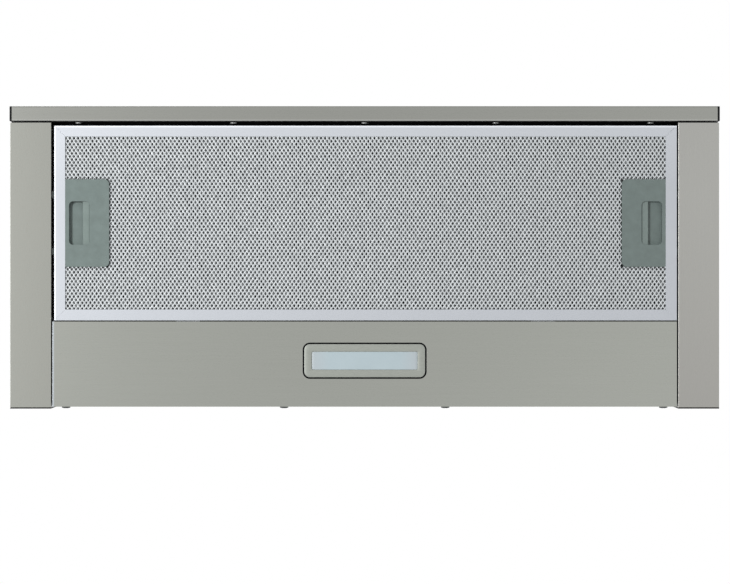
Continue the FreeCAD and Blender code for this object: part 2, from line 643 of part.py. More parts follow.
def make_lamp_panel():
    body = new_body("panel_body")
    section = sketch_on(body, "panel_section", "YZ_Plane")
    outline(section, [
        ("panel_front", "0"), ("panel_back", "0"), ("panel_back", "panel_rear_flange"),
        ("panel_back - tray_sheet", "panel_rear_flange"), ("panel_back - tray_sheet", "tray_sheet"),
        ("panel_front + tray_sheet", "tray_sheet"),
        ("panel_front + tray_sheet", "panel_front_flange"), ("panel_front", "panel_front_flange")])
    pad(body, section, "2 * panel_side", middle=True)
    opening = sketch_on(body, "lamp_opening", "XY_Plane", "tray_sheet")
    grow = "lamp_groove"
    rectangle(opening, (f"-bezel_length / 2 - {grow}", f"bezel_length / 2 + {grow}"),
              (f"lamp_y - bezel_width / 2 - {grow}", f"lamp_y + bezel_width / 2 + {grow}"),
              "(bezel_corner + lamp_groove)")
    pocket(body, opening, "tray_sheet")
    tools = []
    for side, sign in (("left", "-"), ("right", "")):
        middle = f"filter_shift + ({sign}tab_offset)"
        reach = "(tab_width / 2 + tab_clearance)"
        tools.append(block(f"tab_slot_{side}", (f"{middle} - {reach}", f"{middle} + {reach}"),
                           ("panel_front - overrun", "panel_front + overrun"),
                           ("core_bottom + tab_reach - tab_clearance",
                            "core_bottom + tab_reach + frame_sheet + tab_clearance")))
    for index, offset in enumerate(panel_screw_places()):
        tools.append(rod(f"panel_screw_hole_{index}", "y", "panel_screw_radius",
                         "panel_back - overrun", "2 * overrun", (offset, "panel_screw_level")))
    keep(cut("panel_cut", body, *tools), "lamp_panel")

    window = (("-lens_length / 2", "lens_length / 2"),
              ("lamp_y - lens_width / 2", "lamp_y + lens_width / 2"), "lens_corner")
    bezel = new_body("bezel_body")
    face = sketch_on(bezel, "bezel_face", "XY_Plane")
    rectangle(face, ("-bezel_length / 2", "bezel_length / 2"),
              ("lamp_y - bezel_width / 2", "lamp_y + bezel_width / 2"), "bezel_corner")
    rectangle(face, *window)
    pad(bezel, face, "tray_sheet")
    lip = sketch_on(bezel, "bezel_lip_outline", "XY_Plane", "tray_sheet")
    rectangle(lip, ("-bezel_length / 2 - bezel_lip", "bezel_length / 2 + bezel_lip"),
              ("lamp_y - bezel_width / 2 - bezel_lip", "lamp_y + bezel_width / 2 + bezel_lip"),
              "(bezel_corner + bezel_lip)")
    rectangle(lip, *window)
    pad(bezel, lip, "bezel_lip_height")
    well = sketch_on(bezel, "reflector", "XY_Plane", "tray_sheet + bezel_lip_height")
    rectangle(well, ("-lens_length / 2 - reflector_wall", "lens_length / 2 + reflector_wall"),
              ("lamp_y - lens_width / 2 - reflector_wall",
               "lamp_y + lens_width / 2 + reflector_wall"), "(lens_corner + reflector_wall)")
    rectangle(well, *window)
    pad(bezel, well, "reflector_height - bezel_lip_height")
    keep(bezel, "lamp_bezel")

    lens = new_body("lens_body")
    pane = sketch_on(lens, "lens_outline", "XY_Plane", "lens_recess")
    rectangle(pane, *window)
    pad(lens, pane, "lens_thickness")
    keep(lens, "lamp_lens")

    base = "tray_sheet + reflector_height"
    board = block("board", ("-lens_length / 2 - reflector_wall", "lens_length / 2 + reflector_wall"),
                  ("lamp_y - lens_width / 2 - reflector_wall",
                   "lamp_y + lens_width / 2 + reflector_wall"), (base, f"{base} + board_thickness"))
    chips = []
    for index in range(COUNTS["led_count"]):
        offset = f"({index} - (led_count - 1) / 2) * led_spacing"
        chips.append(rod(f"led_{index}", "z", "led_radius", f"{base} - led_height", "led_height",
                         (offset, "lamp_y")))
    keep(fuse("board_with_leds", board, *chips), "led_board")

    driver_y = "panel_front + driver_setback"
    driver = plate("driver_body",
                   ("driver_offset - driver_length / 2", "driver_offset + driver_length / 2"),
                   (f"{driver_y} - driver_width / 2", f"{driver_y} + driver_width / 2"),
                   ("tray_sheet", "tray_sheet + driver_height"), "driver_corner")
    keep(driver, "led_driver")

    rail = new_body("rail_body")
    angle = sketch_on(rail, "rail_section", "YZ_Plane")
    outline(angle, [
        ("rail_front", "rail_lift"), ("rail_back", "rail_lift"), ("rail_back", "tray_under"),
        ("rail_back - rail_foot", "tray_under"), ("rail_back - rail_foot", "tray_under - rail_sheet"),
        ("rail_front", "tray_under - rail_sheet")])
    pad(rail, angle, "2 * trim_edge - 2 * overrun", middle=True)
    bores = [rod(f"rail_hole_{index}", "y", "panel_screw_radius", "rail_back - overrun",
                 "2 * overrun", (offset, "panel_screw_level"))
             for index, offset in enumerate(panel_screw_places())]
    keep(cut("rail_cut", rail, *bores), "rear_rail")

    screws = []
    for index, offset in enumerate(panel_screw_places()):
        head = rod(f"panel_head_{index}", "y", "panel_head_radius", "panel_back",
                   "panel_screw_head", (offset, "panel_screw_level"))
        soft = rounded(f"panel_head_soft_{index}", head, "head_rounding",
                       lambda edge: edge.BoundBox.YMin > value("rear - head_rounding"))
        shank = rod(f"panel_shank_{index}", "y", "panel_screw_radius",
                    "panel_back - panel_screw_length", "panel_screw_length",
                    (offset, "panel_screw_level"))
        screws.append(fuse(f"panel_screw_{index}", soft, shank))
    keep(fuse("panel_screw_set", *screws), "panel_screws")


def panel_screw_places():
    outer = "(panel_side - panel_screw_inset)"
    return ["-" + outer, "-inner_panel_screw", "inner_panel_screw", outer]


# Slides: an outer rail on the trim, a cage of balls and an inner rail on the carriage

def make_slides():
    outer = new_body("slide_outer_body")
    section = sketch_on(outer, "slide_outer_section", "XZ_Plane", "-slide_front")
    half = "slide_rail_height / 2"
    low, high = f"slide_level - {half}", f"slide_level + {half}"
    tip = "slide_out - outer_flange"
    outline(section, [
        ("slide_out", low), ("slide_out", high), (tip, high), (tip, f"{high} - outer_lip"),
        (f"{tip} + rail_steel", f"{high} - outer_lip"), (f"{tip} + rail_steel", f"{high} - rail_steel"),
        ("slide_out - rail_steel", f"{high} - rail_steel"),
        ("slide_out - rail_steel", f"{low} + rail_steel"),
        (f"{tip} + rail_steel", f"{low} + rail_steel"), (f"{tip} + rail_steel", f"{low} + outer_lip"),
        (tip, f"{low} + outer_lip"), (tip, low)])
    pad(outer, section, "slide_length", reverse=True)
    keep(fuse("slide_outer_pair", outer, mirrored("slide_outer_twin", outer)), "slide_outer_rails")

    inner = new_body("slide_inner_body")
    section = sketch_on(inner, "slide_inner_section", "XZ_Plane", "-slide_front")
    half = "inner_rail_height / 2"
    low, high = f"slide_level - {half}", f"slide_level + {half}"
    tip = "carriage_side + inner_flange"
    outline(section, [
        ("carriage_side", low), (tip, low), (tip, f"{low} + rail_steel"),
        ("carriage_side + rail_steel", f"{low} + rail_steel"),
        ("carriage_side + rail_steel", f"{high} - rail_steel"), (tip, f"{high} - rail_steel"),
        (tip, high), ("carriage_side", high)])
    pad(inner, section, "slide_length", reverse=True)
    keep(fuse("slide_inner_pair", inner, mirrored("slide_inner_twin", inner)), "slide_inner_rails")

    cage = new_body("cage_body")
    section = sketch_on(cage, "cage_section", "XZ_Plane", "-(front + cage_setback)")
    half = "cage_height / 2"
    low, high = f"slide_level - {half}", f"slide_level + {half}"
    web = "slide_out - rail_steel - cage_web_gap"
    tip = f"{web} - cage_flange"
    outline(section, [
        (web, low), (web, high), (tip, high), (tip, f"{high} - cage_strip"),
        (f"{web} - cage_strip", f"{high} - cage_strip"), (f"{web} - cage_strip", f"{low} + cage_strip"),
        (tip, f"{low} + cage_strip"), (tip, low)])
    pad(cage, section, "cage_length", reverse=True)
    balls, holes = [], []
    middle_y = "front + cage_setback + cage_length / 2"
    for row, sign in (("low", "-"), ("high", "+")):
        level = f"slide_level {sign} (cage_height / 2 - cage_strip / 2)"
        for index in (-1, 0, 1):
            along = f"{middle_y} + ({index}) * ball_spacing"
            ball = doc.addObject("Part::Sphere", f"ball_{row}_{index + 1}")
            ball.setExpression("Radius", full("ball_radius"))
            for axis, place in (("x", "slide_out - ball_inset"), ("y", along), ("z", level)):
                ball.setExpression("Placement.Base." + axis, full(place))
            balls.append(ball)
            holes.append(rod(f"ball_hole_{row}_{index + 1}", "z",
                             "ball_radius + ball_hole_clearance", f"{level} - cage_strip",
                             "2 * cage_strip", ("slide_out - ball_inset", along)))
    right = fuse("cage_right", cut("cage_strip_cut", cage, *holes), *balls)
    keep(right, "ball_cage_right")
    keep(mirrored("cage_left", right), "ball_cage_left")


# Carriage: a folded frame that carries the fascia and a filter of its own

def make_carriage():
    body = new_body("carriage_body")
    floor = sketch_on(body, "carriage_floor_outline", "XY_Plane", "carriage_level")
    rectangle(floor, ("-carriage_side", "carriage_side"), ("fascia_back", "carriage_back"))
    rectangle(floor, ("-opening_side", "opening_side"), ("opening_front", "opening_back"))
    pad(body, floor, "carriage_sheet")
    beams = sketch_on(body, "carriage_beams", "XY_Plane", "carriage_level")
    inside = "carriage_side - carriage_sheet"
    rectangle(beams, (f"-({inside})", inside), ("fascia_back", "fascia_back + carriage_sheet"))
    rectangle(beams, (f"-({inside})", inside), ("carriage_back - carriage_sheet", "carriage_back"))
    pad(body, beams, "carriage_beam_height")
    sides = sketch_on(body, "carriage_sides", "XY_Plane", "carriage_level")
    arm = ("fascia_back", "trim_back - arm_end_gap")
    rectangle(sides, (inside, "carriage_side"), arm)
    rectangle(sides, ("-carriage_side", f"-({inside})"), arm)
    pad(body, sides, "carriage_wall_height")
    apron_side = "carriage_side - carriage_flange_inset"
    apron = block("carriage_apron", (f"-({apron_side})", apron_side),
                  ("fascia_back", "fascia_back + carriage_sheet"),
                  ("carriage_level - carriage_flange_drop", "carriage_floor"))
    holes = [rod(f"apron_hole_{index}", "y", "fascia_screw_radius", "fascia_back - overrun",
                 "2 * overrun", (offset, "fascia_screw_level"))
             for index, offset in enumerate(fascia_screw_places())]
    keep(cut("carriage_cut", fuse("carriage_folded", body, apron), *holes), "carriage_frame")

    lap = "carriage_filter_overlap"
    x = (f"-opening_side - {lap}", f"opening_side + {lap}")
    y = (f"opening_front - {lap}", f"opening_back + {lap}")
    z = ("carriage_floor", "carriage_floor + carriage_filter_thickness")
    frame = block("upper_outside", x, y, z)
    opening = block("upper_opening", (f"{x[0]} + frame_strip", f"{x[1]} - frame_strip"),
                    (f"{y[0]} + frame_strip", f"{y[1]} - frame_strip"),
                    (f"{z[0]} - overrun", f"{z[1]} + overrun"))
    groove = block("upper_inside", (f"{x[0]} + frame_sheet", f"{x[1]} - frame_sheet"),
                   (f"{y[0]} + frame_sheet", f"{y[1]} - frame_sheet"),
                   (f"{z[0]} + frame_sheet", f"{z[1]} - frame_sheet"))
    keep(cut("upper_frame", frame, opening, groove), "carriage_filter_frame")
    gap = "(frame_sheet + mesh_clearance)"
    keep(block("upper_mesh", (f"{x[0]} + {gap}", f"{x[1]} - {gap}"),
               (f"{y[0]} + {gap}", f"{y[1]} - {gap}"),
               (f"{z[0]} + frame_sheet", f"{z[1]} - frame_sheet")), "carriage_filter_mesh")


# Tray top, housing shell and mounting brackets

def make_housing():
    opening_x = "trim_out - tray_opening_side"
    opening_y = ("front + tray_opening_front", "carriage_back - tray_opening_back")
    keep(plate("tray_top_body", ("-trim_top_edge", "trim_top_edge"),
               ("trim_front", "trim_back"), ("tray_under", "tray_height"),
               holes=[((f"-({opening_x})", opening_x), opening_y)]), "tray_top")

    floor, lap = "tray_height", "tray_height + housing_wall"
    inner_side, ceiling = "housing_side - housing_wall", "housing_top - housing_wall"
    front = new_body("housing_front_body")
    section = sketch_on(front, "housing_front_section", "YZ_Plane")
    outline(section, [
        ("housing_front - housing_front_flange", floor), ("housing_front + housing_wall", floor),
        ("housing_front + housing_wall", ceiling), ("housing_front", ceiling),
        ("housing_front", lap), ("housing_front - housing_front_flange", lap)])
    pad(front, section, "2 * housing_side", middle=True)
    wide = ("-housing_side + bead_inset", "housing_side - bead_inset")
    deep = ("housing_front + bead_inset", "housing_back - bead_inset")
    for level in ("bead_low", "bead_high"):
        bead(front, f"front_{level}", "XZ_Plane", "-housing_front", "-housing_wall", wide,
             bead_span(level), False)
    side = new_body("housing_side_body")
    section = sketch_on(side, "housing_side_section", "XZ_Plane", "-(housing_front + housing_wall)")
    outline(section, [
        (inner_side, floor), ("housing_side + housing_flange", floor),
        ("housing_side + housing_flange", lap), ("housing_side", lap), ("housing_side", ceiling),
        (inner_side, ceiling)])
    pad(side, section, "housing_back - housing_front - 2 * housing_wall", reverse=True)
    bead(side, "side_bead", "YZ_Plane", "housing_side", "-housing_wall", deep,
         bead_span("bead_high"), False)
    bores = [rod(f"wall_hole_{index}", "x", "housing_hole_radius", "housing_side - overrun",
                 "2 * overrun", place) for index, place in enumerate(bracket_hole_places())]
    drilled = cut("housing_side_drilled", side, *bores)
    back = new_body("housing_rear_body")
    face = sketch_on(back, "housing_rear_outline", "XZ_Plane", "-housing_back")
    rectangle(face, ("-housing_side", "housing_side"), (floor, ceiling))
    pad(back, face, "housing_wall")
    for level in ("bead_low", "bead_high"):
        bead(back, f"rear_{level}", "XZ_Plane", "-housing_back", "housing_wall", wide,
             bead_span(level), True)
    keep(group("housing_wall_set", front, drilled, mirrored("housing_side_twin", drilled), back),
         "housing_walls")

    top = new_body("housing_top_body")
    face = sketch_on(top, "housing_top_outline", "XY_Plane", ceiling)
    rectangle(face, ("-housing_side", "housing_side"), ("housing_front", "housing_back"))
    circle(face, "0", "spigot_y", "spigot_bore")
    circle(face, "gland_offset", "gland_y", "gland_radius")
    for across, along in spigot_screw_places():
        circle(face, across, along, "spigot_screw_radius")
    pad(top, face, "housing_wall")
    for name, sign in (("left", "-"), ("right", "")):
        bead(top, f"top_bead_{name}", "XY_Plane", "housing_top", "-housing_wall",
             bead_span(f"{sign}top_bead_offset"), deep, False)
    reach, sheet = "spigot_bore / sqrt(2)", (ceiling, "housing_top + bead_height")
    depth = ("housing_front", "housing_back")
    strips = {"left": (("-housing_side", f"-{reach}"), depth),
              "right": ((reach, "housing_side"), depth),
              "front": ((f"-{reach}", reach), (depth[0], "spigot_y")),
              "rear": ((f"-{reach}", reach), ("spigot_y", depth[1]))}
    keep(group("housing_top_set", *[
        common(f"housing_top_{side}", top, block(f"housing_top_{side}_part", x, y, sheet))
        for side, (x, y) in strips.items()]), "housing_top")

    bracket = new_body("bracket_body")
    face = sketch_on(bracket, "bracket_outline", "YZ_Plane", "housing_side")
    rectangle(face, ("housing_front + bracket_end_inset", "housing_back - bracket_end_inset"),
              ("bracket_level", "bracket_level + bracket_height"), "bracket_corner")
    for along, level in bracket_hole_places():
        circle(face, along, level, "bracket_hole_radius")
    pad(bracket, face, "bracket_sheet")
    keep(bracket, "mounting_bracket_right")
    keep(mirrored("bracket_twin", bracket), "mounting_bracket_left")


def bead_span(middle):
    """The two edges of a bead, which lies half its width either side of its middle."""
    return f"{middle} - bead_width / 2", f"{middle} + bead_width / 2"


def bead(body, name, role, face, inwards, u, v, turned):
    """A stiffening bead pressed outwards from a sheet: raised outside, hollow inside."""
    outside = sketch_on(body, name + "_outside", role, face)
    rectangle(outside, u, v, "bead_corner")
    pad(body, outside, "bead_height", reverse=turned)
    inside = sketch_on(body, name + "_inside", role, f"{face} + ({inwards})")
    rectangle(inside, *[(f"{low} + housing_wall", f"{high} - housing_wall") for low, high in (u, v)],
              "(bead_corner - housing_wall)")
    pocket(body, inside, "bead_height", reverse=not turned)


def bracket_hole_places():
    middle = "(housing_front + housing_back) / 2"
    level = "bracket_level + bracket_height / 2"
    return [(f"{middle} - bracket_hole_spacing / 2", level),
            (f"{middle} + bracket_hole_spacing / 2", level)]


def spigot_screw_places():
    step = "spigot_screw_circle / sqrt(2)"
    return [(f"{across} {step}", f"spigot_y {along} {step}")
            for across in ("-", "+") for along in ("-", "+")]


# Blower: a double-inlet wheel of forward-curved blades in a volute

def volute(sketch, wall):
    """The volute outline, seen along X about the wheel's axis, grown outwards by wall."""
    first, second, third = (f"(volute_radius + {wall})", f"(radius_two + {wall})",
                            f"(radius_three + {wall})")
    low, high = "-half_step", "half_step"
    start = "outlet_front" if wall != "0" else "outlet_front + scroll_wall"
    corners = [
        (f"{high} + {third}", "outlet_top"),
        (f"{high} + {third}", high, third, high, high),
        (high, f"{low} - {second}", second, high, low),
        (f"{low} - {first}", low, first, low, low),
        (low, f"{low} + {first}")]
    if wall == "0":
        corners.append((start, f"{low} + {first}"))
    corners.append((start, "outlet_top"))
    outline(sketch, corners)


def at_fan(shape):
    """Moves a piece that is drawn about the wheel's axis to the wheel's place."""
    shape.setExpression("Placement.Base.y", full("fan_y"))
    shape.setExpression("Placement.Base.z", full("fan_level"))
    return shape


def make_blower():
    half = "scroll_width / 2"
    scroll = new_body("scroll_body")
    case = sketch_on(scroll, "scroll_outline", "YZ_Plane")
    volute(case, "scroll_wall")
    pad(scroll, case, half)
    rim = sketch_on(scroll, "outlet_rim_outline", "XY_Plane", "outlet_top - outlet_rim_thickness")
    rectangle(rim, ("0", f"{half} + outlet_rim"),
              ("outlet_front - outlet_rim", "outlet_back + scroll_wall + outlet_rim"))
    pad(scroll, rim, "outlet_rim_thickness")
    room = sketch_on(scroll, "scroll_room", "YZ_Plane")
    volute(room, "0")
    pocket(scroll, room, f"{half} - scroll_wall", reverse=True)
    inlet = sketch_on(scroll, "scroll_inlet", "YZ_Plane", f"{half} - overrun")
    circle(inlet, "0", "0", "inlet_radius")
    pocket(scroll, inlet, "2 * overrun", reverse=True)
    at_fan(scroll)
    holes = [rod(f"scroll_hole_{index}", "z", "spigot_screw_radius", "housing_top - 2 * overrun",
                 "2 * overrun", place) for index, place in enumerate(spigot_screw_places())]
    right = cut("scroll_drilled", scroll, *holes)
    keep(right, "scroll_right")
    keep(mirrored("scroll_twin", right), "scroll_left")

    mouth = new_body("inlet_ring_body")
    section = sketch_on(mouth, "inlet_ring_section", "XY_Plane")
    outer = "inlet_radius + inlet_ring_width"
    outline(section, [
        (half, "inlet_radius"), (half, outer), (f"{half} + scroll_wall", outer),
        (f"{half} + inlet_ring_depth", "inlet_radius + scroll_wall"),
        (f"{half} + inlet_ring_depth", "inlet_radius")])
    turned = mouth.newObject("PartDesign::Revolution", "inlet_ring_turn")
    turned.Profile = section
    turned.ReferenceAxis = (origin_feature(mouth, "X_Axis"), [""])
    turned.Angle = 360
    at_fan(mouth)
    keep(mouth, "inlet_ring")

    make_wheel()
    make_motor(half)


def make_wheel():
    wheel = new_body("wheel_body")
    hub = sketch_on(wheel, "wheel_hub", "YZ_Plane")
    circle(hub, "0", "0", "hub_radius")
    circle(hub, "0", "0", "motor_shaft_radius + hub_fit")
    pad(wheel, hub, "hub_length", middle=True)
    disc = sketch_on(wheel, "wheel_disc_outline", "YZ_Plane")
    circle(disc, "0", "0", "wheel_radius")
    circle(disc, "0", "0", "(hub_radius + motor_shaft_radius) / 2")
    pad(wheel, disc, "wheel_disc", middle=True)
    for side, sign in (("right", ""), ("left", "-")):
        ring = sketch_on(wheel, f"wheel_ring_{side}", "YZ_Plane",
                         f"{sign}(wheel_width / 2 - wheel_ring_width / 2)")
        circle(ring, "0", "0", "wheel_radius")
        circle(ring, "0", "0", "wheel_radius - wheel_ring")
        pad(wheel, ring, "wheel_ring_width", middle=True)
        if side == "right":
            blade = sketch_on(wheel, "blade_outline", "YZ_Plane")
            blade_arcs(blade)
            first = pad(wheel, blade, "wheel_width", middle=True)
            pattern = wheel.newObject("PartDesign::PolarPattern", "blades")
            pattern.Originals = [first]
            pattern.Axis = (origin_feature(wheel, "X_Axis"), [""])
            pattern.Angle = 360
            pattern.setExpression("Occurrences", full("blade_count"))
            wheel.Tip = pattern
            doc.recompute()
    at_fan(wheel)
    keep(wheel, "fan_wheel")


def blade_arcs(sketch):
    """One blade: two arcs of one radius, a blade's thickness apart, hollow side forward."""
    inner = "wheel_inner_radius"
    outer = "(wheel_radius - wheel_ring / 2)"
    chord = f"sqrt(({outer} - {inner}) ^ 2 + blade_sweep ^ 2)"
    rise = f"sqrt(blade_curve ^ 2 - ({chord}) ^ 2 / 4)"
    centre_u = f"(({inner} + {outer}) / 2 - ({rise}) * blade_sweep / ({chord}))"
    centre_v = f"(blade_sweep / 2 + ({rise}) * ({outer} - {inner}) / ({chord}))"
    outline(sketch, [
        (inner, "0", "blade_curve", centre_u, centre_v),
        (outer, "blade_sweep"),
        (outer, "blade_sweep + blade_thickness", "blade_curve", centre_u,
         f"{centre_v} + blade_thickness"),
        (inner, "blade_thickness")])


def make_motor(half):
    case = new_body("motor_body")
    outside = sketch_on(case, "motor_outline", "YZ_Plane", f"-({half})")
    circle(outside, "0", "0", "motor_radius")
    pad(case, outside, "motor_length")
    bearing = sketch_on(case, "motor_bearing", "YZ_Plane", f"-({half}) + shaft_end_gap")
    circle(bearing, "0", "0", "motor_shaft_radius + bearing_clearance")
    pocket(case, bearing, "motor_length", reverse=True)
    at_fan(case)
    keep(rounded("motor_rounded", case, "motor_corner",
                 lambda edge: edge.Curve.TypeId == "Part::GeomCircle"
                 and edge.Curve.Radius > value("motor_radius - motor_corner")), "motor")

    start = f"-({half}) + 2 * shaft_end_gap"
    keep(rod("shaft", "x", "motor_shaft_radius", start, f"shaft_stub - ({start})",
             ("fan_y", "fan_level")), "motor_shaft")

    spider = new_body("spider_body")
    ring = sketch_on(spider, "spider_rim_outline", "YZ_Plane", f"-({half}) - spider_sheet")
    circle(ring, "0", "0", "inlet_radius + spider_rim")
    circle(ring, "0", "0", "inlet_radius")
    pad(spider, ring, "spider_sheet")
    arm = sketch_on(spider, "spider_arm_outline", "YZ_Plane", f"-({half}) - spider_sheet")
    rectangle(arm, ("0", "inlet_radius + spider_rim / 2"), ("-spider_arm / 2", "spider_arm / 2"))
    first = pad(spider, arm, "spider_sheet")
    arms = spider.newObject("PartDesign::PolarPattern", "spider_arms")
    arms.Originals = [first]
    arms.Axis = (origin_feature(spider, "X_Axis"), [""])
    arms.Angle = 360
    arms.setExpression("Occurrences", full("spider_arms"))
    spider.Tip = arms
    hub = sketch_on(spider, "spider_hub_outline", "YZ_Plane", f"-({half}) - spider_sheet")
    circle(hub, "0", "0", "spider_hub")
    pad(spider, hub, "spider_sheet")
    at_fan(spider)
    keep(spider, "motor_bracket")

    can = rod("capacitor_can", "x", "capacitor_radius", "-capacitor_offset - capacitor_length / 2",
              "capacitor_length", ("capacitor_y", "tray_height + capacitor_radius"))
    keep(rounded("capacitor_rounded", can, "capacitor_rounding",
                 lambda edge: edge.Curve.TypeId == "Part::GeomCircle"), "capacitor")


# Terminal box on the rear wall and the gland in the top for the mains cable

def make_terminals():
    x = ("terminal_right - terminal_length", "terminal_right")
    z = ("terminal_level", "terminal_level + terminal_height")
    box = block("terminal_outside", x, ("terminal_front", "terminal_front + terminal_depth"), z)
    hollow = block("terminal_hollow", (f"{x[0]} + terminal_wall", f"{x[1]} - terminal_wall"),
                   ("terminal_front - overrun", "terminal_front + terminal_depth - terminal_wall"),
                   (f"{z[0]} + terminal_wall", f"{z[1]} - terminal_wall"))
    keep(cut("terminal_cut", box, hollow), "terminal_box")

    lid = new_body("lid_body")
    face = sketch_on(lid, "lid_outline", "XZ_Plane", "-terminal_front")
    rectangle(face, x, z, "lid_corner")
    pad(lid, face, "lid_thickness")
    keep(lid, "terminal_lid")

    gland = new_body("gland_body")
    section = sketch_on(gland, "gland_section", "XZ_Plane")
    neck = "gland_radius - gland_fit"
    outline(section, [
        ("gland_bore_radius", "-gland_neck"), (neck, "-gland_neck"), (neck, "0"),
        ("gland_collar", "0"), ("gland_collar - gland_collar_height / 4", "gland_collar_height"),
        ("gland_bore_radius", "gland_collar_height")])
    turned = gland.newObject("PartDesign::Revolution", "gland_turn")
    turned.Profile = section
    turned.ReferenceAxis = (origin_feature(gland, "Z_Axis"), [""])
    turned.Angle = 360
    for axis, place in (("x", "gland_offset"), ("y", "gland_y"), ("z", "housing_top")):
        gland.setExpression("Placement.Base." + axis, full(place))
    keep(gland, "cable_gland")


# Duct spigot with two flaps on pins

def make_spigot():
    spigot = new_body("spigot_body")
    section = sketch_on(spigot, "spigot_section", "XZ_Plane")
    base, top = "spigot_flange", "spigot_height"
    ledge = "spigot_bore - ledge_width"
    outline(section, [
        (ledge, "0"), ("spigot_flange_radius", "0"), ("spigot_flange_radius", base),
        ("spigot_radius", base), ("spigot_radius", top), ("spigot_bore", top),
        ("spigot_bore", f"{base} + ledge_height"), (ledge, f"{base} + ledge_height")])
    turned = spigot.newObject("PartDesign::Revolution", "spigot_turn")
    turned.Profile = section
    turned.ReferenceAxis = (origin_feature(spigot, "Z_Axis"), [""])
    turned.Angle = 360
    for axis, place in (("y", "spigot_y"), ("z", "housing_top")):
        spigot.setExpression("Placement.Base." + axis, full(place))
    bridge = block("spigot_bridge", ("-spigot_bore + ledge_width / 2", "spigot_bore - ledge_width / 2"),
                   ("spigot_y - bridge_width / 2", "spigot_y + bridge_width / 2"),
                   ("housing_top", "housing_top + bridge_height"))
    holes = [rod(f"spigot_hole_{index}", "z", "spigot_screw_radius", "housing_top - overrun",
                 "2 * overrun", place) for index, place in enumerate(spigot_screw_places())]
    keep(cut("spigot_drilled", fuse("spigot_with_bridge", spigot, bridge), *holes), "duct_spigot")

    screws = []
    for index, place in enumerate(spigot_screw_places()):
        seat = "housing_top + spigot_flange"
        screws.append(fuse(f"spigot_screw_{index}",
                           rod(f"spigot_head_{index}", "z", "spigot_head_radius", seat,
                               "spigot_head_height", place),
                           rod(f"spigot_shank_{index}", "z", "spigot_screw_radius",
                               f"{seat} - spigot_screw_length", "spigot_screw_length", place)))
    keep(fuse("spigot_screw_set", *screws), "spigot_screws")

    pins = []
    for name, sign in (("front", "-"), ("rear", "+")):
        pin_y = f"spigot_y {sign} flap_pin_offset"
        reach = "sqrt(spigot_bore ^ 2 - flap_pin_offset ^ 2)"
        pins.append(rod(f"flap_pin_{name}", "x", "flap_pin_radius", f"-{reach}", f"2 * {reach}",
                        (pin_y, "pin_level")))
        flap = new_body(f"flap_{name}_body")
        leaf = sketch_on(flap, f"flap_{name}_outline", "XY_Plane", "-flap_thickness / 2")
        side = "sqrt(flap_reach ^ 2 - flap_pin_offset ^ 2)"
        outline(leaf, [
            (f"-{side}", "0"), (side, "0", "flap_reach", "0", f"{flipped(sign)}flap_pin_offset"),
            ("0", f"{sign}(flap_reach - flap_pin_offset)", "flap_reach", "0",
             f"{flipped(sign)}flap_pin_offset")])
        pad(flap, leaf, "flap_thickness")
        sleeve = sketch_on(flap, f"flap_{name}_sleeve", "YZ_Plane")
        circle(sleeve, "0", "0", "flap_sleeve_radius")
        pad(flap, sleeve, "flap_sleeve_length", middle=True)
        bore = sketch_on(flap, f"flap_{name}_bore", "YZ_Plane")
        circle(bore, "0", "0", "flap_pin_radius + pin_clearance")
        pocket(flap, bore, "2 * spigot_radius", middle=True)
        flap.setExpression("Placement.Base.y", full(pin_y))
        flap.setExpression("Placement.Base.z", full("pin_level"))
        keep(flap, f"flap_{name}")
    keep(fuse("flap_pin_pair", *pins), "flap_pins")


def flipped(sign):
    return "-" if sign == "+" else ""


# Controls on the fixed front edge, reached when the carriage is out

def make_controls():
    strip = new_body("control_body")
    section = sketch_on(strip, "control_section", "YZ_Plane", "control_left")
    back = "control_front + control_depth"
    outline(section, [
        ("control_front", "control_level"), ("control_front + control_wall", "control_level"),
        ("control_front + control_wall", "tray_under - control_wall"),
        (back, "tray_under - control_wall"), (back, "tray_under"), ("control_front", "tray_under")])
    pad(strip, section, "control_length")
    slots = []
    for name, left, travel in (("speed", "speed_left", "speed_travel"),
                               ("light", "light_left", "light_travel")):
        slots.append(block(f"{name}_slot",
                           (f"{left} + knob_length / 2 - stem_length / 2 - knob_gap",
                            f"{left} + knob_length / 2 + stem_length / 2 + {travel} + knob_gap"),
                           ("control_front - overrun", "control_front + control_wall + knob_gap"),
                           ("slot_level", "slot_level + slot_height")))
        middle = "slot_level + slot_height / 2"
        cap = block(f"{name}_cap", (left, f"{left} + knob_length"),
                    ("control_front - knob_gap - knob_reach", "control_front - knob_gap"),
                    (f"{middle} - knob_height / 2", f"{middle} + knob_height / 2"))
        soft = rounded(f"{name}_cap_soft", cap, "knob_corner",
                       lambda edge: edge.BoundBox.YMax < value("control_front - knob_gap"))
        stem = block(f"{name}_stem",
                     (f"{left} + knob_length / 2 - stem_length / 2",
                      f"{left} + knob_length / 2 + stem_length / 2"),
                     ("control_front - knob_gap", "control_front - knob_gap + stem_depth"),
                     (f"{middle} - stem_height / 2", f"{middle} + stem_height / 2"))
        keep(fuse(f"{name}_knob_parts", soft, stem), f"{name}_knob")
    keep(cut("control_cut", strip, *slots), "control_strip")
    middle = "(control_left + control_right) / 2"
    keep(block("module", (f"{middle} - module_length / 2", f"{middle} + module_length / 2"),
               ("front + module_setback", back), ("control_level", "tray_under - control_wall")),
         "switch_module")

    x = ("-switch_offset - switch_length / 2", "-switch_offset + switch_length / 2")
    body = block("switch_case", x, ("switch_front", "switch_front + switch_depth"),
                 ("tray_under - switch_height", "tray_under"))
    bore = rod("plunger_hole", "y", "plunger_radius + plunger_clearance", "switch_front - overrun",
               "overrun + plunger_bore", ("-switch_offset", "plunger_level"))
    keep(cut("switch_bored", body, bore), "microswitch")
    start = "carriage_back + plunger_gap"
    keep(rod("plunger", "y", "plunger_radius", start, f"switch_front + plunger_seat - ({start})",
             ("-switch_offset", "plunger_level")), "switch_plunger")


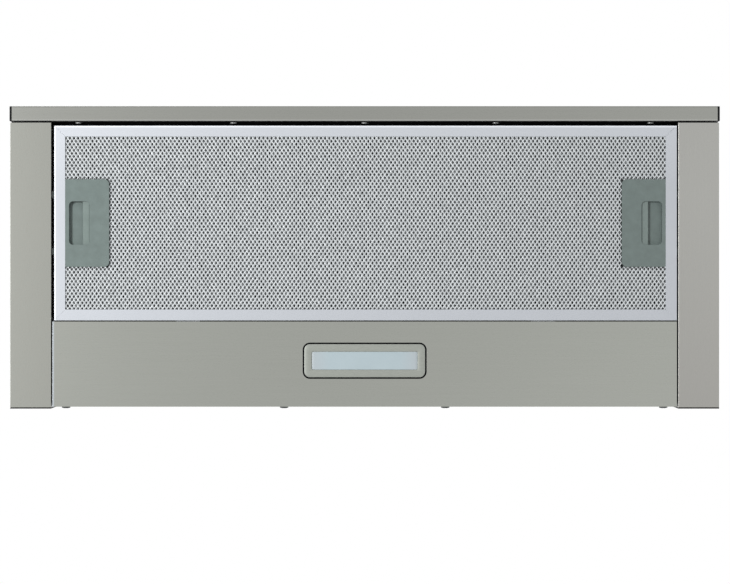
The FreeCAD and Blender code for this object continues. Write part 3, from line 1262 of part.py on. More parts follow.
def check_and_write():
    """Stops on any failed feature or bad solid, then writes one file for each sub-part."""
    doc.recompute()
    for item in doc.Objects:
        if "Invalid" in item.State or "Error" in item.State:
            raise ValueError(f"{item.Name} failed")
    for name, item in nodes.items():
        if item.Shape.isNull() or not item.Shape.isValid() or not item.Shape.Solids:
            raise ValueError(f"{name} has no good solid")
    os.makedirs("parts", exist_ok=True)
    for name, item in nodes.items():
        item.Shape.exportStep(f"parts/{name}.step")
    whole = FreeCAD.BoundBox()
    for item in nodes.values():
        whole.add(item.Shape.BoundBox)
    print(len(nodes), "sub-parts in", whole)


make_fascia()
make_side_trims()
make_lower_filter()
make_handles()
make_lamp_panel()
make_slides()
make_carriage()
make_housing()
make_blower()
make_terminals()
make_spigot()
make_controls()
check_and_write()
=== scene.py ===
# %% [markdown]
# # A slide-out range hood, seen from below
#
# The hood hangs in a wall cabinet and the photograph looks straight up at its underside. Most
# of what shows is thin sheet: brushed steel folded round the tray, an aluminium filter frame
# with expanded mesh, two grey finger handles and a frosted lamp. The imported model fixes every
# size and place, so this lesson only adds what a solid can't show: softened folds, the open
# mesh, screw heads and a finish for each material.

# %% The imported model
import json
import math

import bmesh
import bpy
import numpy as np
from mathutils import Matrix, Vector


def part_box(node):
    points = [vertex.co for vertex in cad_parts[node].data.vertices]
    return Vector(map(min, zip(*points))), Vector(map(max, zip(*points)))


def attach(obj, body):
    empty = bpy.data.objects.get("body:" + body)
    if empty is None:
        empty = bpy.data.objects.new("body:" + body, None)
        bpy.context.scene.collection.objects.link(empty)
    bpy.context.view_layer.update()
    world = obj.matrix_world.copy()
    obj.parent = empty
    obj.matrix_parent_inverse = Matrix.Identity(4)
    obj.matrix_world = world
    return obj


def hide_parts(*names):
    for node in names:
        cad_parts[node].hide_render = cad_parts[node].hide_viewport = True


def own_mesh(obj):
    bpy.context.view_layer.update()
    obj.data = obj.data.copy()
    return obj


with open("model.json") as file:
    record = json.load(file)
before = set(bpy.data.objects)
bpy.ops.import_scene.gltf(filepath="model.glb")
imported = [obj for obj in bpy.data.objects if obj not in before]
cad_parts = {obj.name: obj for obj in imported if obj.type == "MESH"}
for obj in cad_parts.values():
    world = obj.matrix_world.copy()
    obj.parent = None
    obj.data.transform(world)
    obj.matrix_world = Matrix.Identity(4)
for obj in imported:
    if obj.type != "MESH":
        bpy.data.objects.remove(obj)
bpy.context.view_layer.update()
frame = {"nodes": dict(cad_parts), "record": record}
MM = 0.001
slot_of_node = {part["node"]: part["material_slot"] for part in frame["record"]["subparts"]}
body_of_node = {node: body for body, members in frame["record"]["behaviour"]["bodies"].items()
                for node in members}


def extent(node):
    """The lowest and highest corner of a node in millimetres, as two arrays."""
    low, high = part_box(node)
    return np.array(low) / MM, np.array(high) / MM


# %% [markdown]
# ## Camera
#
# The picture is taken from straight below with hardly any perspective, so a long lens stands
# far off. The front of the hood is at the top of the picture: a camera that is turned half a
# turn about X looks up and has the front at the top. The picture is 730 pixels wide and spans
# 615.7 mm at the underside, which gives the distance.

# %% Camera
PICTURE_WIDTH = 615.7
LENS, SENSOR = 135.0, 36.0
AIM = (0.28, 29.2)
camera = bpy.data.objects.new("camera", bpy.data.cameras.new("camera"))
camera.data.lens = LENS
camera.data.sensor_width = SENSOR
camera.data.clip_start, camera.data.clip_end = 0.01, 50
distance = PICTURE_WIDTH * MM * LENS / SENSOR
camera.location = (AIM[0] * MM, AIM[1] * MM, -distance)
camera.rotation_euler = (math.pi, 0, 0)
bpy.context.scene.collection.objects.link(camera)
bpy.context.scene.camera = camera
bpy.context.scene.view_settings.view_transform = "Standard"
print("camera", round(distance, 3), "m below the underside")

# %% [markdown]
# ## Studio
#
# The background is plain white. A lit white sheet would throw more light on the hood than it
# has in the picture, so the world is white only for rays that the camera, a gloss or a glass
# sends out, and dimmer for the light that falls on dull surfaces. The floor is there for the
# views from above: it is seen from its upper side only, and lets the light of the lamps below
# pass, so that the underside isn't in the dark.

# %% World and floor
AMBIENT = 0.38
FLOOR_TONE, FLOOR_SIZE, FLOOR_LEVEL = 0.86, 8, -0.0006


def wire(tree, *links):
    """Joins sockets: each link is (node, output, node, input)."""
    for source, output, target, socket in links:
        tree.links.new(source.outputs[output], target.inputs[socket])


def add_math(tree, operation, socket=0, number=0.5):
    """A math node with a number typed into one input, which a wire to that input overrides."""
    node = tree.nodes.new("ShaderNodeMath")
    node.operation = operation
    node.inputs[socket].default_value = number
    return node


def make_world():
    """White for rays from the camera, a gloss or a glass, and AMBIENT for all others."""
    world = bpy.data.worlds.new("studio")
    bpy.context.scene.world = world
    world.use_nodes = True
    tree = world.node_tree
    tree.nodes.clear()
    path = tree.nodes.new("ShaderNodeLightPath")
    white = tree.nodes.new("ShaderNodeBackground")
    dim = tree.nodes.new("ShaderNodeBackground")
    dim.inputs["Strength"].default_value = AMBIENT
    for back in (white, dim):
        back.inputs["Color"].default_value = (1, 1, 1, 1)
    direct = add_math(tree, "MAXIMUM")
    bright = add_math(tree, "MAXIMUM")
    mix = tree.nodes.new("ShaderNodeMixShader")
    out = tree.nodes.new("ShaderNodeOutputWorld")
    wire(tree, (path, "Is Camera Ray", direct, 0), (path, "Is Glossy Ray", direct, 1),
         (direct, 0, bright, 0), (path, "Is Transmission Ray", bright, 1),
         (bright, 0, mix, 0), (dim, 0, mix, 1), (white, 0, mix, 2), (mix, 0, out, "Surface"))


def make_floor():
    """A floor, in metres, that only the camera sees, and only from above."""
    bpy.ops.mesh.primitive_plane_add(size=FLOOR_SIZE, location=(0, 0, FLOOR_LEVEL))
    floor = bpy.context.object
    floor.name = "floor"
    material = bpy.data.materials.new("pale_floor")
    material.use_nodes = True
    tree = material.node_tree
    tree.nodes.clear()
    path = tree.nodes.new("ShaderNodeLightPath")
    side = tree.nodes.new("ShaderNodeNewGeometry")
    upper = add_math(tree, "SUBTRACT", 0, 1)
    seen = add_math(tree, "MULTIPLY")
    clear = tree.nodes.new("ShaderNodeBsdfTransparent")
    dull = tree.nodes.new("ShaderNodeBsdfDiffuse")
    dull.inputs["Color"].default_value = (FLOOR_TONE, FLOOR_TONE, FLOOR_TONE, 1)
    mix = tree.nodes.new("ShaderNodeMixShader")
    out = tree.nodes.new("ShaderNodeOutputMaterial")
    wire(tree, (side, "Backfacing", upper, 1), (upper, 0, seen, 0),
         (path, "Is Camera Ray", seen, 1), (seen, 0, mix, 0), (clear, 0, mix, 1),
         (dull, 0, mix, 2), (mix, 0, out, "Surface"))
    floor.data.materials.append(material)


make_world()
make_floor()
print("world", AMBIENT, "for dull surfaces")

# %% [markdown]
# ## Lamps
#
# In the picture the left walls of the finger recesses are dark, and the left handle is half
# as bright again as the right one. So the main light comes from the left and stands near
# enough to fall off across the hood. One key and a weak fill are below, and three soft lamps
# are above for the other views. Each is a square that faces the middle of the hood.

# %% Lamps
LAMPS = {
    "key_below": ((-1.2, -0.1, -1.2), 0.95, 22),
    "fill_below": ((0.9, 0.3, -2.0), 1.4, 2),
    "key_above": ((-1.3, -1.7, 2.1), 1.6, 30),
    "fill_above": ((1.9, -0.9, 1.5), 1.8, 15),
    "back_above": ((0.4, 2.1, 1.7), 1.8, 18),
}


def add_lamp(name, place, size, power, target=(0, 0, 0)):
    """A square lamp of size metres and power watts at a place, facing its target."""
    light = bpy.data.lights.new(name, "AREA")
    light.size = size
    light.energy = power
    lamp = bpy.data.objects.new(name, light)
    lamp.location = place
    lamp.rotation_euler = (Vector(target) - Vector(place)).to_track_quat("-Z", "Y").to_euler()
    bpy.context.scene.collection.objects.link(lamp)
    return lamp


for name, lamp in LAMPS.items():
    add_lamp(name, *lamp)
print(len(LAMPS), "lamps")

# %% [markdown]
# ## Finishes
#
# Every finish is worked out from Object coordinates, so it stays on its piece in every view.
# A finish is two colours that a noise mixes, a roughness that a second noise varies, and a
# small bump. Brushed steel stretches its noise a hundredfold along the grain: that is all
# that brushing is. Colours are written as they show on a screen and turned into light values.

# %% Finish helpers
MIX_FIRST, MIX_SECOND, MIX_RESULT = 6, 7, 2


def tone(red, green, blue):
    """A colour written in 0 to 255 as it shows on a screen, as light values."""
    screen = np.array([red, green, blue]) / 255
    light = np.where(screen <= 0.04045, screen / 12.92, ((screen + 0.055) / 1.055) ** 2.4)
    return (*light.tolist(), 1)


def texture(tree, scale, detail=3.0, kind="ShaderNodeTexNoise"):
    """A noise on Object coordinates; scale is its cells in a metre, one number or X, Y and Z."""
    where = tree.nodes.new("ShaderNodeTexCoord")
    stretch = tree.nodes.new("ShaderNodeMapping")
    stretch.inputs["Scale"].default_value = np.broadcast_to(scale, 3).tolist()
    pattern = tree.nodes.new(kind)
    pattern.inputs["Scale"].default_value = 1
    if kind == "ShaderNodeTexNoise":
        pattern.inputs["Detail"].default_value = detail
        pattern.inputs["Roughness"].default_value = 0.55
    wire(tree, (where, "Object", stretch, "Vector"), (stretch, "Vector", pattern, "Vector"))
    return pattern


def spread(tree, source, output, low, high, start=0.3, end=0.7):
    """Turns a noise between start and end into a number between low and high."""
    scale = tree.nodes.new("ShaderNodeMapRange")
    for socket, number in {"From Min": start, "From Max": end, "To Min": low,
                           "To Max": high}.items():
        scale.inputs[socket].default_value = number
    wire(tree, (source, output, scale, "Value"))
    return scale


def add_mix(tree, share, second):
    """A mix of two colours, of which the second takes over as the share goes to 1."""
    mix = tree.nodes.new("ShaderNodeMix")
    mix.data_type = "RGBA"
    mix.inputs[MIX_SECOND].default_value = tone(*second)
    wire(tree, (share, 0, mix, 0))
    return mix


def finish(name, first, second, metallic, roughness, cells, bump, bump_cells=None,
           variation=0.06, spangle=False, specular=0.5):
    """A finish of two mixed colours with a varied roughness and a bump in millimetres.

    spangle mixes the colours by a pattern of cells, and otherwise a noise does.
    """
    material = bpy.data.materials.new(name)
    material.use_nodes = True
    tree = material.node_tree
    shader = tree.nodes["Principled BSDF"]
    shader.inputs["Metallic"].default_value = metallic
    shader.inputs["Specular IOR Level"].default_value = specular
    if spangle:
        pattern = texture(tree, cells, kind="ShaderNodeTexVoronoi")
        share = spread(tree, pattern, "Color", 0, 1, 0.1, 0.9)
    else:
        pattern = texture(tree, cells)
        share = spread(tree, pattern, 0, 0, 1)
    mix = add_mix(tree, share, second)
    mix.inputs[MIX_FIRST].default_value = tone(*first)
    fine = texture(tree, bump_cells or cells, detail=4)
    sheen = spread(tree, fine, 0, roughness - variation, roughness + variation)
    relief = tree.nodes.new("ShaderNodeBump")
    relief.inputs["Strength"].default_value = 1
    relief.inputs["Distance"].default_value = bump * MM
    wire(tree, (mix, MIX_RESULT, shader, "Base Color"), (sheen, 0, shader, "Roughness"),
         (fine, 0, relief, "Height"), (relief, "Normal", shader, "Normal"))
    return material


# %% [markdown]
# The finishes themselves, one for each kind of stock the hood is made of. The three brushed
# steels differ in the way their grain runs and a shade in colour. The zinc has the pale patches
# of coated sheet, which a cell pattern gives, and the moulded plastics have a fine grain.
# The numbers are: two colours, metallic share, roughness, cells in a metre of the colour noise,
# and the bump's height in millimetres and cells in a metre.

# %% Finishes
ALONG_X, ALONG_Y = (9, 900, 900), (900, 9, 900)
FINE_X, FINE_Y = (60, 5200, 5200), (5200, 60, 5200)
finishes = {
    "stainless": finish("brushed_steel_across", (150, 152, 146), (152, 154, 148), 0.85, 0.28,
                        ALONG_X, 0.0003, FINE_X, variation=0.01),
    "trim": finish("brushed_steel_along", (157, 157, 153), (159, 159, 155), 0.85, 0.28, ALONG_Y,
                   0.0002, FINE_Y, variation=0.01),
    "fascia_steel": finish("brushed_steel_bar", (143, 144, 139), (145, 146, 141), 0.85, 0.28,
                           ALONG_X, 0.0003, FINE_X, variation=0.01),
    "zinc_steel": finish("zinc_sheet", (156, 160, 163), (170, 174, 177), 0.7, 0.4, 170, 0.003, 500,
                         variation=0.08, spangle=True),
    "screw_steel": finish("bright_zinc", (176, 178, 176), (184, 186, 184), 0.6, 0.5, 900, 0.001),
    # The rear panel screws get a near-black tone, darker than the other screws.
    "dark_screw_steel": finish("dark_screw_tone", (20, 26, 26), (36, 43, 42), 0.5, 0.5, 900, 0.002),
    "spring_steel": finish("spring_steel", (160, 161, 162), (182, 183, 184), 0.9, 0.3, 500, 0.003),
    # Near-black with almost no gloss: a black coated frame, darkened further as painted shade so
    # that the slot behind the front bar shows as shadow.
    "black_steel": finish("black_coating_and_painted_shade", (3, 3, 4), (7, 7, 8), 0, 0.6, 1500, 0.02, specular=0.04),
    "filter_aluminium": finish("satin_aluminium", (192, 196, 202), (194, 198, 204), 0.3, 0.42, 60,
                               0.001, 2600, variation=0.02),
    "filter_mesh": finish("mesh_aluminium", (186, 190, 192), (204, 208, 210), 0.35, 0.45, 420, 0.01,
                          2400),
    # A darker copy of the mesh aluminium for the sheets behind the face: painted shade, for the
    # light that reaches less deep.
    "shaded_inner_mesh": finish("inner_mesh_painted_shade", (120, 124, 126), (150, 154, 156), 0.6, 0.45, 300,
                         0.01, 2400),
    "handle_plastic": finish("grey_green_moulding", (112, 124, 121), (120, 133, 130), 0, 0.48, 140,
                             0.012, 4200),
    "black_plastic": finish("black_moulding", (7, 8, 9), (13, 14, 15), 0, 0.5, 400, 0.012, 3800,
                            specular=0.14),
    "seal_rubber": finish("seal_rubber", (2, 3, 7), (5, 7, 12), 0, 0.65, 900, 0.01, specular=0.03),
    "latch_plastic": finish("latch_moulding", (123, 136, 132), (131, 144, 140), 0, 0.42, 140, 0.01,
                            4200),
    "bezel_plastic": finish("bezel_moulding", (153, 157, 150), (160, 164, 157), 0.3, 0.42,
                            (200, 900, 900), 0.006, 3000),
    "lens": finish("frosted_lens", (185, 201, 207), (189, 205, 211), 0, 0.35, 60, 0.01, 2600),
    "circuit_board": finish("board_white", (214, 216, 210), (224, 226, 220), 0, 0.4, 300, 0.01),
    "white_plastic": finish("white_moulding", (206, 206, 201), (214, 214, 209), 0, 0.42, 200, 0.012,
                            3600),
    "blower_plastic": finish("blower_moulding", (44, 46, 48), (54, 56, 58), 0, 0.45, 160, 0.015,
                             3200),
    "wheel_plastic": finish("wheel_moulding", (70, 72, 74), (82, 84, 86), 0, 0.45, 160, 0.015,
                            3200),
    "flap_plastic": finish("flap_moulding", (34, 34, 36), (42, 42, 44), 0, 0.42, 160, 0.012, 3200),
    "knob_plastic": finish("knob_moulding", (172, 174, 174), (182, 184, 184), 0, 0.3, 300, 0.008,
                           3600),
    "motor_metal": finish("motor_coating", (84, 86, 88), (98, 100, 102), 0.35, 0.45, 500, 0.02,
                          2400),
}
print(len(finishes), "finishes")

# %% [markdown]
# Some finishes change towards an edge. The filter frame is lighter at the front, and its front
# and left folds get a painted highlight, nearly white. The front bar has painted shade along its
# front and a painted highlight along its back, the panel has a painted highlight on its left fold,
# and the side trims darken towards the wall end and on the left. The frosted lens is lit along
# its middle only, and the latches' tongues get painted shade where they reach past the frame.
# One helper tells how far a place lies from a start along one axis, the next says where the last
# millimetres of a length begin, and the third mixes the other colour in that far out.

# %% Finishes that change towards an edge


def beyond(tree, axis, start_place, low, high):
    """A share that grows from 0 to 1 while the distance from a place goes from low to high."""
    where = tree.nodes.new("ShaderNodeTexCoord")
    axes = tree.nodes.new("ShaderNodeSeparateXYZ")
    shift = add_math(tree, "SUBTRACT", 1, start_place * MM)
    side = add_math(tree, "ABSOLUTE")
    wire(tree, (where, "Object", axes, 0), (axes, axis, shift, 0), (shift, 0, side, 0))
    return spread(tree, side, 0, 0, 1, low * MM, high * MM)


def last(length, start, end):
    """The distances at which the last start and end millimetres of a length begin."""
    return length - start, length - end


def tint(name, colour, *places):
    """Mixes a colour into a finish beyond any of the places (axis, start place, low, high)."""
    tree = finishes[name].node_tree
    shader = tree.nodes["Principled BSDF"]
    under = shader.inputs["Base Color"].links[0].from_node
    share = beyond(tree, *places[0])
    for place in places[1:]:
        larger = add_math(tree, "MAXIMUM")
        wire(tree, (share, 0, larger, 0), (beyond(tree, *place), 0, larger, 1))
        share = larger
    mix = add_mix(tree, share, colour)
    wire(tree, (under, MIX_RESULT, mix, MIX_FIRST), (mix, MIX_RESULT, shader, "Base Color"))


STRIP_REAR_TABS = 4
frame_low = extent("filter_strip_front")[0]
frame_right = extent("filter_strip_front")[1][0]
frame_rear = extent("filter_strip_rear")[1][1] - STRIP_REAR_TABS
frame_width, frame_depth = frame_right - frame_low[0], frame_rear - frame_low[1]
tint("filter_aluminium", (201, 205, 211), ("Y", frame_rear, *last(frame_depth, 50, 10)))
# Painted highlight: the frame's front and left folds turn nearly white.
tint("filter_aluminium", (238, 242, 248), ("X", frame_right, *last(frame_width, 1.5, 1.0)),
     ("Y", frame_rear, *last(frame_depth, 1.8, 1.2)))
# Painted shade: the latches' tongues turn dark where they reach past the frame into the gap.
tint("latch_plastic", (48, 54, 52), ("X", (frame_low[0] + frame_right) / 2,
                                     *last(frame_width / 2, 0.4, 0.1)))
bar_low, bar_high = extent("fascia")
bar_depth = bar_high[1] - bar_low[1]
# Painted shade along the front bar's front edge and a painted highlight along its back edge.
tint("fascia_steel", (122, 123, 118), ("Y", bar_high[1], *last(bar_depth, 0.7, 0.3)))
tint("fascia_steel", (160, 161, 157), ("Y", bar_low[1], *last(bar_depth, 1.9, 0.9)))
panel_low, panel_high = extent("lamp_panel")
# Painted highlight on the lamp panel's left fold.
tint("stainless", (172, 178, 182),
     ("X", panel_high[0], *last(panel_high[0] - panel_low[0], 1.6, 0.9)))
trim_low, trim_high = extent("side_trim_right")
tint("trim", (149, 148, 144), ("Y", trim_low[1], 60, trim_high[1] - trim_low[1]))
tint("trim", (148, 149, 143), ("X", trim_high[0], 500, 550))
tint("lens", (189, 199, 204), ("X", 0, 30, 43))
print("filter frame", frame_width.round(1), "by", frame_depth.round(1), "mm")

# %% [markdown]
# ## The folded and moulded pieces
#
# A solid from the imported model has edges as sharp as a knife, and a real fold or moulding
# hasn't: its radius is what catches the light. A copy of the piece is cleaned up into large
# flat faces, every sharp edge gets a weight, and a Bevel modifier rounds it by that weight.
# Folds of the sheet are picked by where they lie and get the full radius, and cut edges get a
# small share of it. This keeps every slot and hole of the real piece.

# %% Softened copies of solids
SHARP, FLAT = math.radians(25), math.radians(0.5)
JOIN, CLOSE, STRAIGHT = 0.002, 0.01, 0.999


def softened(node, width, fold=None, cut_share=0.2, finish_name=None, segments=3):
    """A rounded copy of a node: fold(midpoints, directions) picks the edges that get it all.

    width is the full radius in millimetres, and every other sharp edge gets cut_share of it.
    """
    source = frame["nodes"][node]
    mesh = source.data.copy()
    mesh.name = node + "_soft"
    work = bmesh.new()
    work.from_mesh(mesh)
    bmesh.ops.remove_doubles(work, verts=work.verts, dist=JOIN * MM)
    bmesh.ops.dissolve_limit(work, angle_limit=FLAT, verts=work.verts, edges=work.edges)
    work.to_mesh(mesh)
    sharp = np.array([len(edge.link_faces) == 2 and edge.calc_face_angle(0) > SHARP
                      for edge in work.edges])
    work.free()
    places = np.empty(len(mesh.vertices) * 3)
    mesh.vertices.foreach_get("co", places)
    places = places.reshape(-1, 3) / MM
    ends = np.empty(len(mesh.edges) * 2, dtype=int)
    mesh.edges.foreach_get("vertices", ends)
    one, other = places[ends[0::2]], places[ends[1::2]]
    full = np.ones(len(sharp), bool) if fold is None else fold((one + other) / 2, other - one)
    weight = mesh.attributes.new("bevel_weight_edge", "FLOAT", "EDGE")
    weight.data.foreach_set("value", np.where(sharp, np.where(full, 1.0, cut_share), 0.0))
    piece = bpy.data.objects.new(node + "_soft", mesh)
    bpy.context.scene.collection.objects.link(piece)
    mesh.materials.clear()
    slot = slot_of_node[node]
    mesh.materials.append(finishes[finish_name or slot])
    mesh.polygons.foreach_set("use_smooth", np.ones(len(mesh.polygons), bool))
    rounding = piece.modifiers.new("rounding", "BEVEL")
    rounding.limit_method = "WEIGHT"
    rounding.width = width * MM
    rounding.segments = segments
    rounding.miter_outer = "MITER_ARC"
    flatten = piece.modifiers.new("flat_faces_win", "WEIGHTED_NORMAL")
    flatten.weight = 100
    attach(piece, body_of_node[node])
    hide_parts(node)
    return piece


def along(direction, axis):
    """True for edges that run along one axis: 0 is X, 1 is Y and 2 is Z."""
    return np.abs(direction[:, axis]) > STRAIGHT * np.linalg.norm(direction, axis=1)


def near(values, *places):
    """True for values that are within CLOSE millimetres of one of the places."""
    return np.min([abs(values - place) for place in places], axis=0) < CLOSE


# %% [markdown]
# The side trims and the lamp panel are folded sheet. A fold is an edge that lies at the outline
# of the piece and on its underside, or on a trim's upper side. The panel is folded along all
# four sides and the trims along their length, with a crisper bend.

# %% Trims and lamp panel
PANEL_RADIUS, TRIM_RADIUS = 1.1, 0.6


def trim_fold(low, high):
    """Picks the edges along Y at the left and right of a trim, on its under and upper side."""
    return lambda middle, direction: (along(direction, 1) & near(middle[:, 0], low[0], high[0])
                                      & near(middle[:, 2], 0, high[2]))


def panel_fold(middle, direction):
    """Picks the four edges round the underside of the panel."""
    long = along(direction, 0) & near(middle[:, 1], panel_low[1], panel_high[1])
    short = along(direction, 1) & near(middle[:, 0], panel_low[0], panel_high[0])
    return (long | short) & near(middle[:, 2], 0)


for side in ("left", "right"):
    softened("side_trim_" + side, TRIM_RADIUS, trim_fold(*extent("side_trim_" + side)),
             finish_name="trim")
softened("lamp_panel", PANEL_RADIUS, panel_fold)
print("folds of", TRIM_RADIUS, "mm on the trims and", PANEL_RADIUS, "mm on the panel")

# %% [markdown]
# The filter frame is four aluminium strips, mitred at the corners. Their outer fold is
# rounder than the inner one, and each mitre shows as a hairline because the two cut ends are
# broken by a file. The rear strip has two tabs, which reach past its outer fold.

# %% Filter frame strips
STRIP_RADIUS, FILED_SHARE = 0.9, 0.42
outer_folds = {"front": (1, frame_low[1]), "rear": (1, frame_rear), "left": (0, frame_low[0]),
               "right": (0, frame_right)}


def strip_fold(across, place):
    """Picks the lengthwise edges of a strip that lie at its outer side."""
    return lambda middle, direction: along(direction, 1 - across) & near(middle[:, across], place)


for side, (across, place) in outer_folds.items():
    softened("filter_strip_" + side, STRIP_RADIUS, strip_fold(across, place),
             cut_share=FILED_SHARE)
print(len(outer_folds), "mitred strips")

# %% [markdown]
# ## Expanded mesh
#
# Expanded metal is slit and pulled, so its holes are diamonds in staggered rows and its
# strands lie at a slant. One cell is worked out once, as three rings of eight points round a
# hole: the strand's underside along the cell's border, the rim of the hole, and the strand's
# upper side. The cells are copied to every place of the lattice as one array, equal points are
# merged, walls close the outer border, and a seeded shake makes the strands as uneven as the
# real ones. Modelled holes, and a second sheet behind, give the picture's speckle, which a
# painted pattern wouldn't.

# %% Mesh lattice
RING, ROUND_SHARE, SAME_POINT = 8, 0.45, 0.01


def expanded_mesh(x, y, z, pitch, row, hole, slant, shake, seed, phase=(0.0, 0.0), skip=None):
    """Points and faces of a sheet of expanded metal between the given places in millimetres.

    Cell (i, j) has its middle at (i + half for every second row) pitches and j rows. Its
    border is the diamond with half diagonals pitch / 2 and row, its hole is a rounded diamond
    with the half sizes in hole, and the rim's height leans by slant from front to back.
    """
    i, j = np.meshgrid(np.arange(int((x[1] - x[0]) / pitch) + 1),
                       np.arange(int((y[1] - y[0]) / row) + 1))
    middle = np.stack([x[0] + (i + 0.5 * (j % 2) + phase[0]) * pitch,
                       y[0] + (j + phase[1]) * row], -1).reshape(-1, 2)
    inside = (middle[:, 0] <= x[1]) & (middle[:, 1] <= y[1])
    if skip is not None:
        inside &= ~skip(middle)
    middle = middle[inside]
    turn = np.arange(RING) * 2 * math.pi / RING
    corner = np.stack([np.cos(turn), np.sin(turn)], -1)
    diamond = corner / np.abs(corner).sum(1)[:, None]
    border = diamond * (pitch / 2, row)
    rim = ((1 - ROUND_SHARE) * diamond + ROUND_SHARE * corner) * hole
    level = (z[0] + z[1]) / 2
    rings = np.stack([
        np.column_stack([border, np.full(RING, z[0])]),
        np.column_stack([rim, level + slant * corner[:, 1]]),
        np.column_stack([border, np.full(RING, z[1])])])
    cells = np.repeat(rings[None], len(middle), 0)
    cells[..., :2] += middle[:, None, None, :]
    points = cells.reshape(-1, 3)
    here = np.arange(RING)
    after = (here + 1) % RING
    under = np.stack([here, after, after + RING, here + RING], -1)
    over = np.stack([here + RING, after + RING, after + 2 * RING, here + 2 * RING], -1)
    quads = np.concatenate([under, over])
    faces = (np.arange(len(middle))[:, None, None] * 3 * RING + quads[None]).reshape(-1, 4)
    key = np.round(points / SAME_POINT).astype(np.int64)
    _, keep, place = np.unique(key, axis=0, return_index=True, return_inverse=True)
    points, faces = points[keep], place.reshape(-1)[faces]
    twins = place.reshape(-1, 3, RING)
    above = np.zeros(len(points), int)
    above[twins[:, 0]] = twins[:, 2]
    sides = np.concatenate([faces[:, [k, (k + 1) % 4]] for k in range(4)])
    _, start, count = np.unique(np.sort(sides, 1), axis=0, return_index=True,
                                return_counts=True)
    loose = sides[start[count == 1]]
    loose = loose[np.abs(points[loose[:, 0], 2] - z[0]) < SAME_POINT]
    walls = np.column_stack([loose[:, 1], loose[:, 0], above[loose[:, 0]], above[loose[:, 1]]])
    draw = np.random.default_rng(seed)
    points = points + draw.uniform(-1, 1, points.shape) * shake
    return points, np.concatenate([faces, walls])


# %% [markdown]
# Every new piece goes into the scene the same way: its points are turned into metres, its
# normals are made to point outwards, and it gets a body to ride on, the nodes it stands for
# and a finish. Most new surfaces are rows of points, each row a closed ring, so one function
# gives the faces between the rows.

# %% New pieces
WELD = 0.001


def grid_faces(around, rows, closed=False):
    """Quads between rows of around points; closed joins the last row to the first as well."""
    i, j = (grid.ravel() for grid in np.meshgrid(np.arange(around),
                                                 np.arange(rows if closed else rows - 1)))
    after_i, after_j = (i + 1) % around, (j + 1) % rows
    return np.stack([j * around + i, after_j * around + i, after_j * around + after_i,
                     j * around + after_i], -1)


def add_piece(name, points, faces, body, slot, replaced=(), finish_name=None, smooth=True,
              outward=True, merge=False, crease=None):
    """outward turns the faces outwards, merge joins equal points, and edges that turn by more
    than crease degrees stay sharp.
    """
    mesh = bpy.data.meshes.new(name)
    if isinstance(faces, np.ndarray):
        faces = faces.tolist()
    mesh.from_pydata((np.asarray(points) * MM).tolist(), [], faces)
    if outward:
        work = bmesh.new()
        work.from_mesh(mesh)
        if merge:
            bmesh.ops.remove_doubles(work, verts=work.verts, dist=WELD * MM)
        bmesh.ops.recalc_face_normals(work, faces=work.faces)
        work.to_mesh(mesh)
        work.free()
    mesh.polygons.foreach_set("use_smooth", np.full(len(mesh.polygons), smooth))
    if crease is not None:
        mesh.set_sharp_from_angle(angle=math.radians(crease))
    mesh.materials.append(finishes[finish_name or slot])
    piece = bpy.data.objects.new(name, mesh)
    bpy.context.scene.collection.objects.link(piece)
    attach(piece, body)
    if replaced:
        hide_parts(*replaced)
    return piece


# %% [markdown]
# The lower filter has a face mesh, a coarser mesh behind it and a back mesh. The face mesh
# stops at the two handles, which fill their part of the frame. Its pitch is read from the
# picture: 3.475 mm across and 2.572 mm from row to row. It is made in two halves, because a
# piece may only have so many triangles. A cell is its pitch, its row and the half sizes of its
# hole.

# %% Meshes of the lower filter
FACE_CELL, COARSE_CELL = (3.475, 2.572, (1.0, 1.36)), (5.3, 3.7, (1.75, 2.1))
FACE_SLANT, FACE_SHAKE, BACK_SHAKE = 0.1, (0.05, 0.06, 0.04), (0.1, 0.12, 0.03)
UNDER_STRIP, MIDDLE_LEVELS, HANDLE_MARGIN = 8, (3.2, 4.0), 0.2


def mesh_sheet(name, body, node, x, y, z, cell, finish_name=None, **form):
    """Adds a sheet of expanded metal that stands for a node, and tells its triangles."""
    points, faces = expanded_mesh(x, y, z, *cell, **form)
    add_piece(name, points, faces, body, "filter_mesh", [node], finish_name, smooth=False,
              outward=False)
    return 2 * len(faces)


def face_sheet(name, body, node, x, y, z, seeds, skip=None):
    """Adds a face mesh as a left and a right half, cut after a whole number of pitches."""
    pitch = FACE_CELL[0]
    split = x[0] + int((x[1] - x[0]) / 2 / pitch) * pitch
    halves = {"left": (x[0], split - 0.5 * pitch), "right": (split, x[1])}
    return sum(mesh_sheet(f"{name}_{side}", body, node, span, y, z, FACE_CELL, slant=FACE_SLANT,
                          shake=FACE_SHAKE, seed=seed, skip=skip)
               for (side, span), seed in zip(halves.items(), seeds))


def under_handle(middle):
    """True for cells that lie on a handle or between it and the nearer end of the frame."""
    covered = np.zeros(len(middle), bool)
    for low, high in (extent("handle_left"), extent("handle_right")):
        beside = (middle[:, 0] < high[0] + HANDLE_MARGIN if low[0] < 0
                  else middle[:, 0] > low[0] - HANDLE_MARGIN)
        covered |= (beside & (middle[:, 1] > low[1] - HANDLE_MARGIN)
                    & (middle[:, 1] < high[1] + HANDLE_MARGIN))
    return covered


field_x = (frame_low[0] + UNDER_STRIP, frame_right - UNDER_STRIP)
field_y = (frame_low[1] + UNDER_STRIP, frame_rear - UNDER_STRIP)
face_z, back_z = ([corner[2] for corner in extent(node)]
                  for node in ("filter_face_mesh", "filter_back_mesh"))
total = face_sheet("face_mesh", "hood", "filter_face_mesh", field_x, field_y, face_z, (3, 4),
                   skip=under_handle)
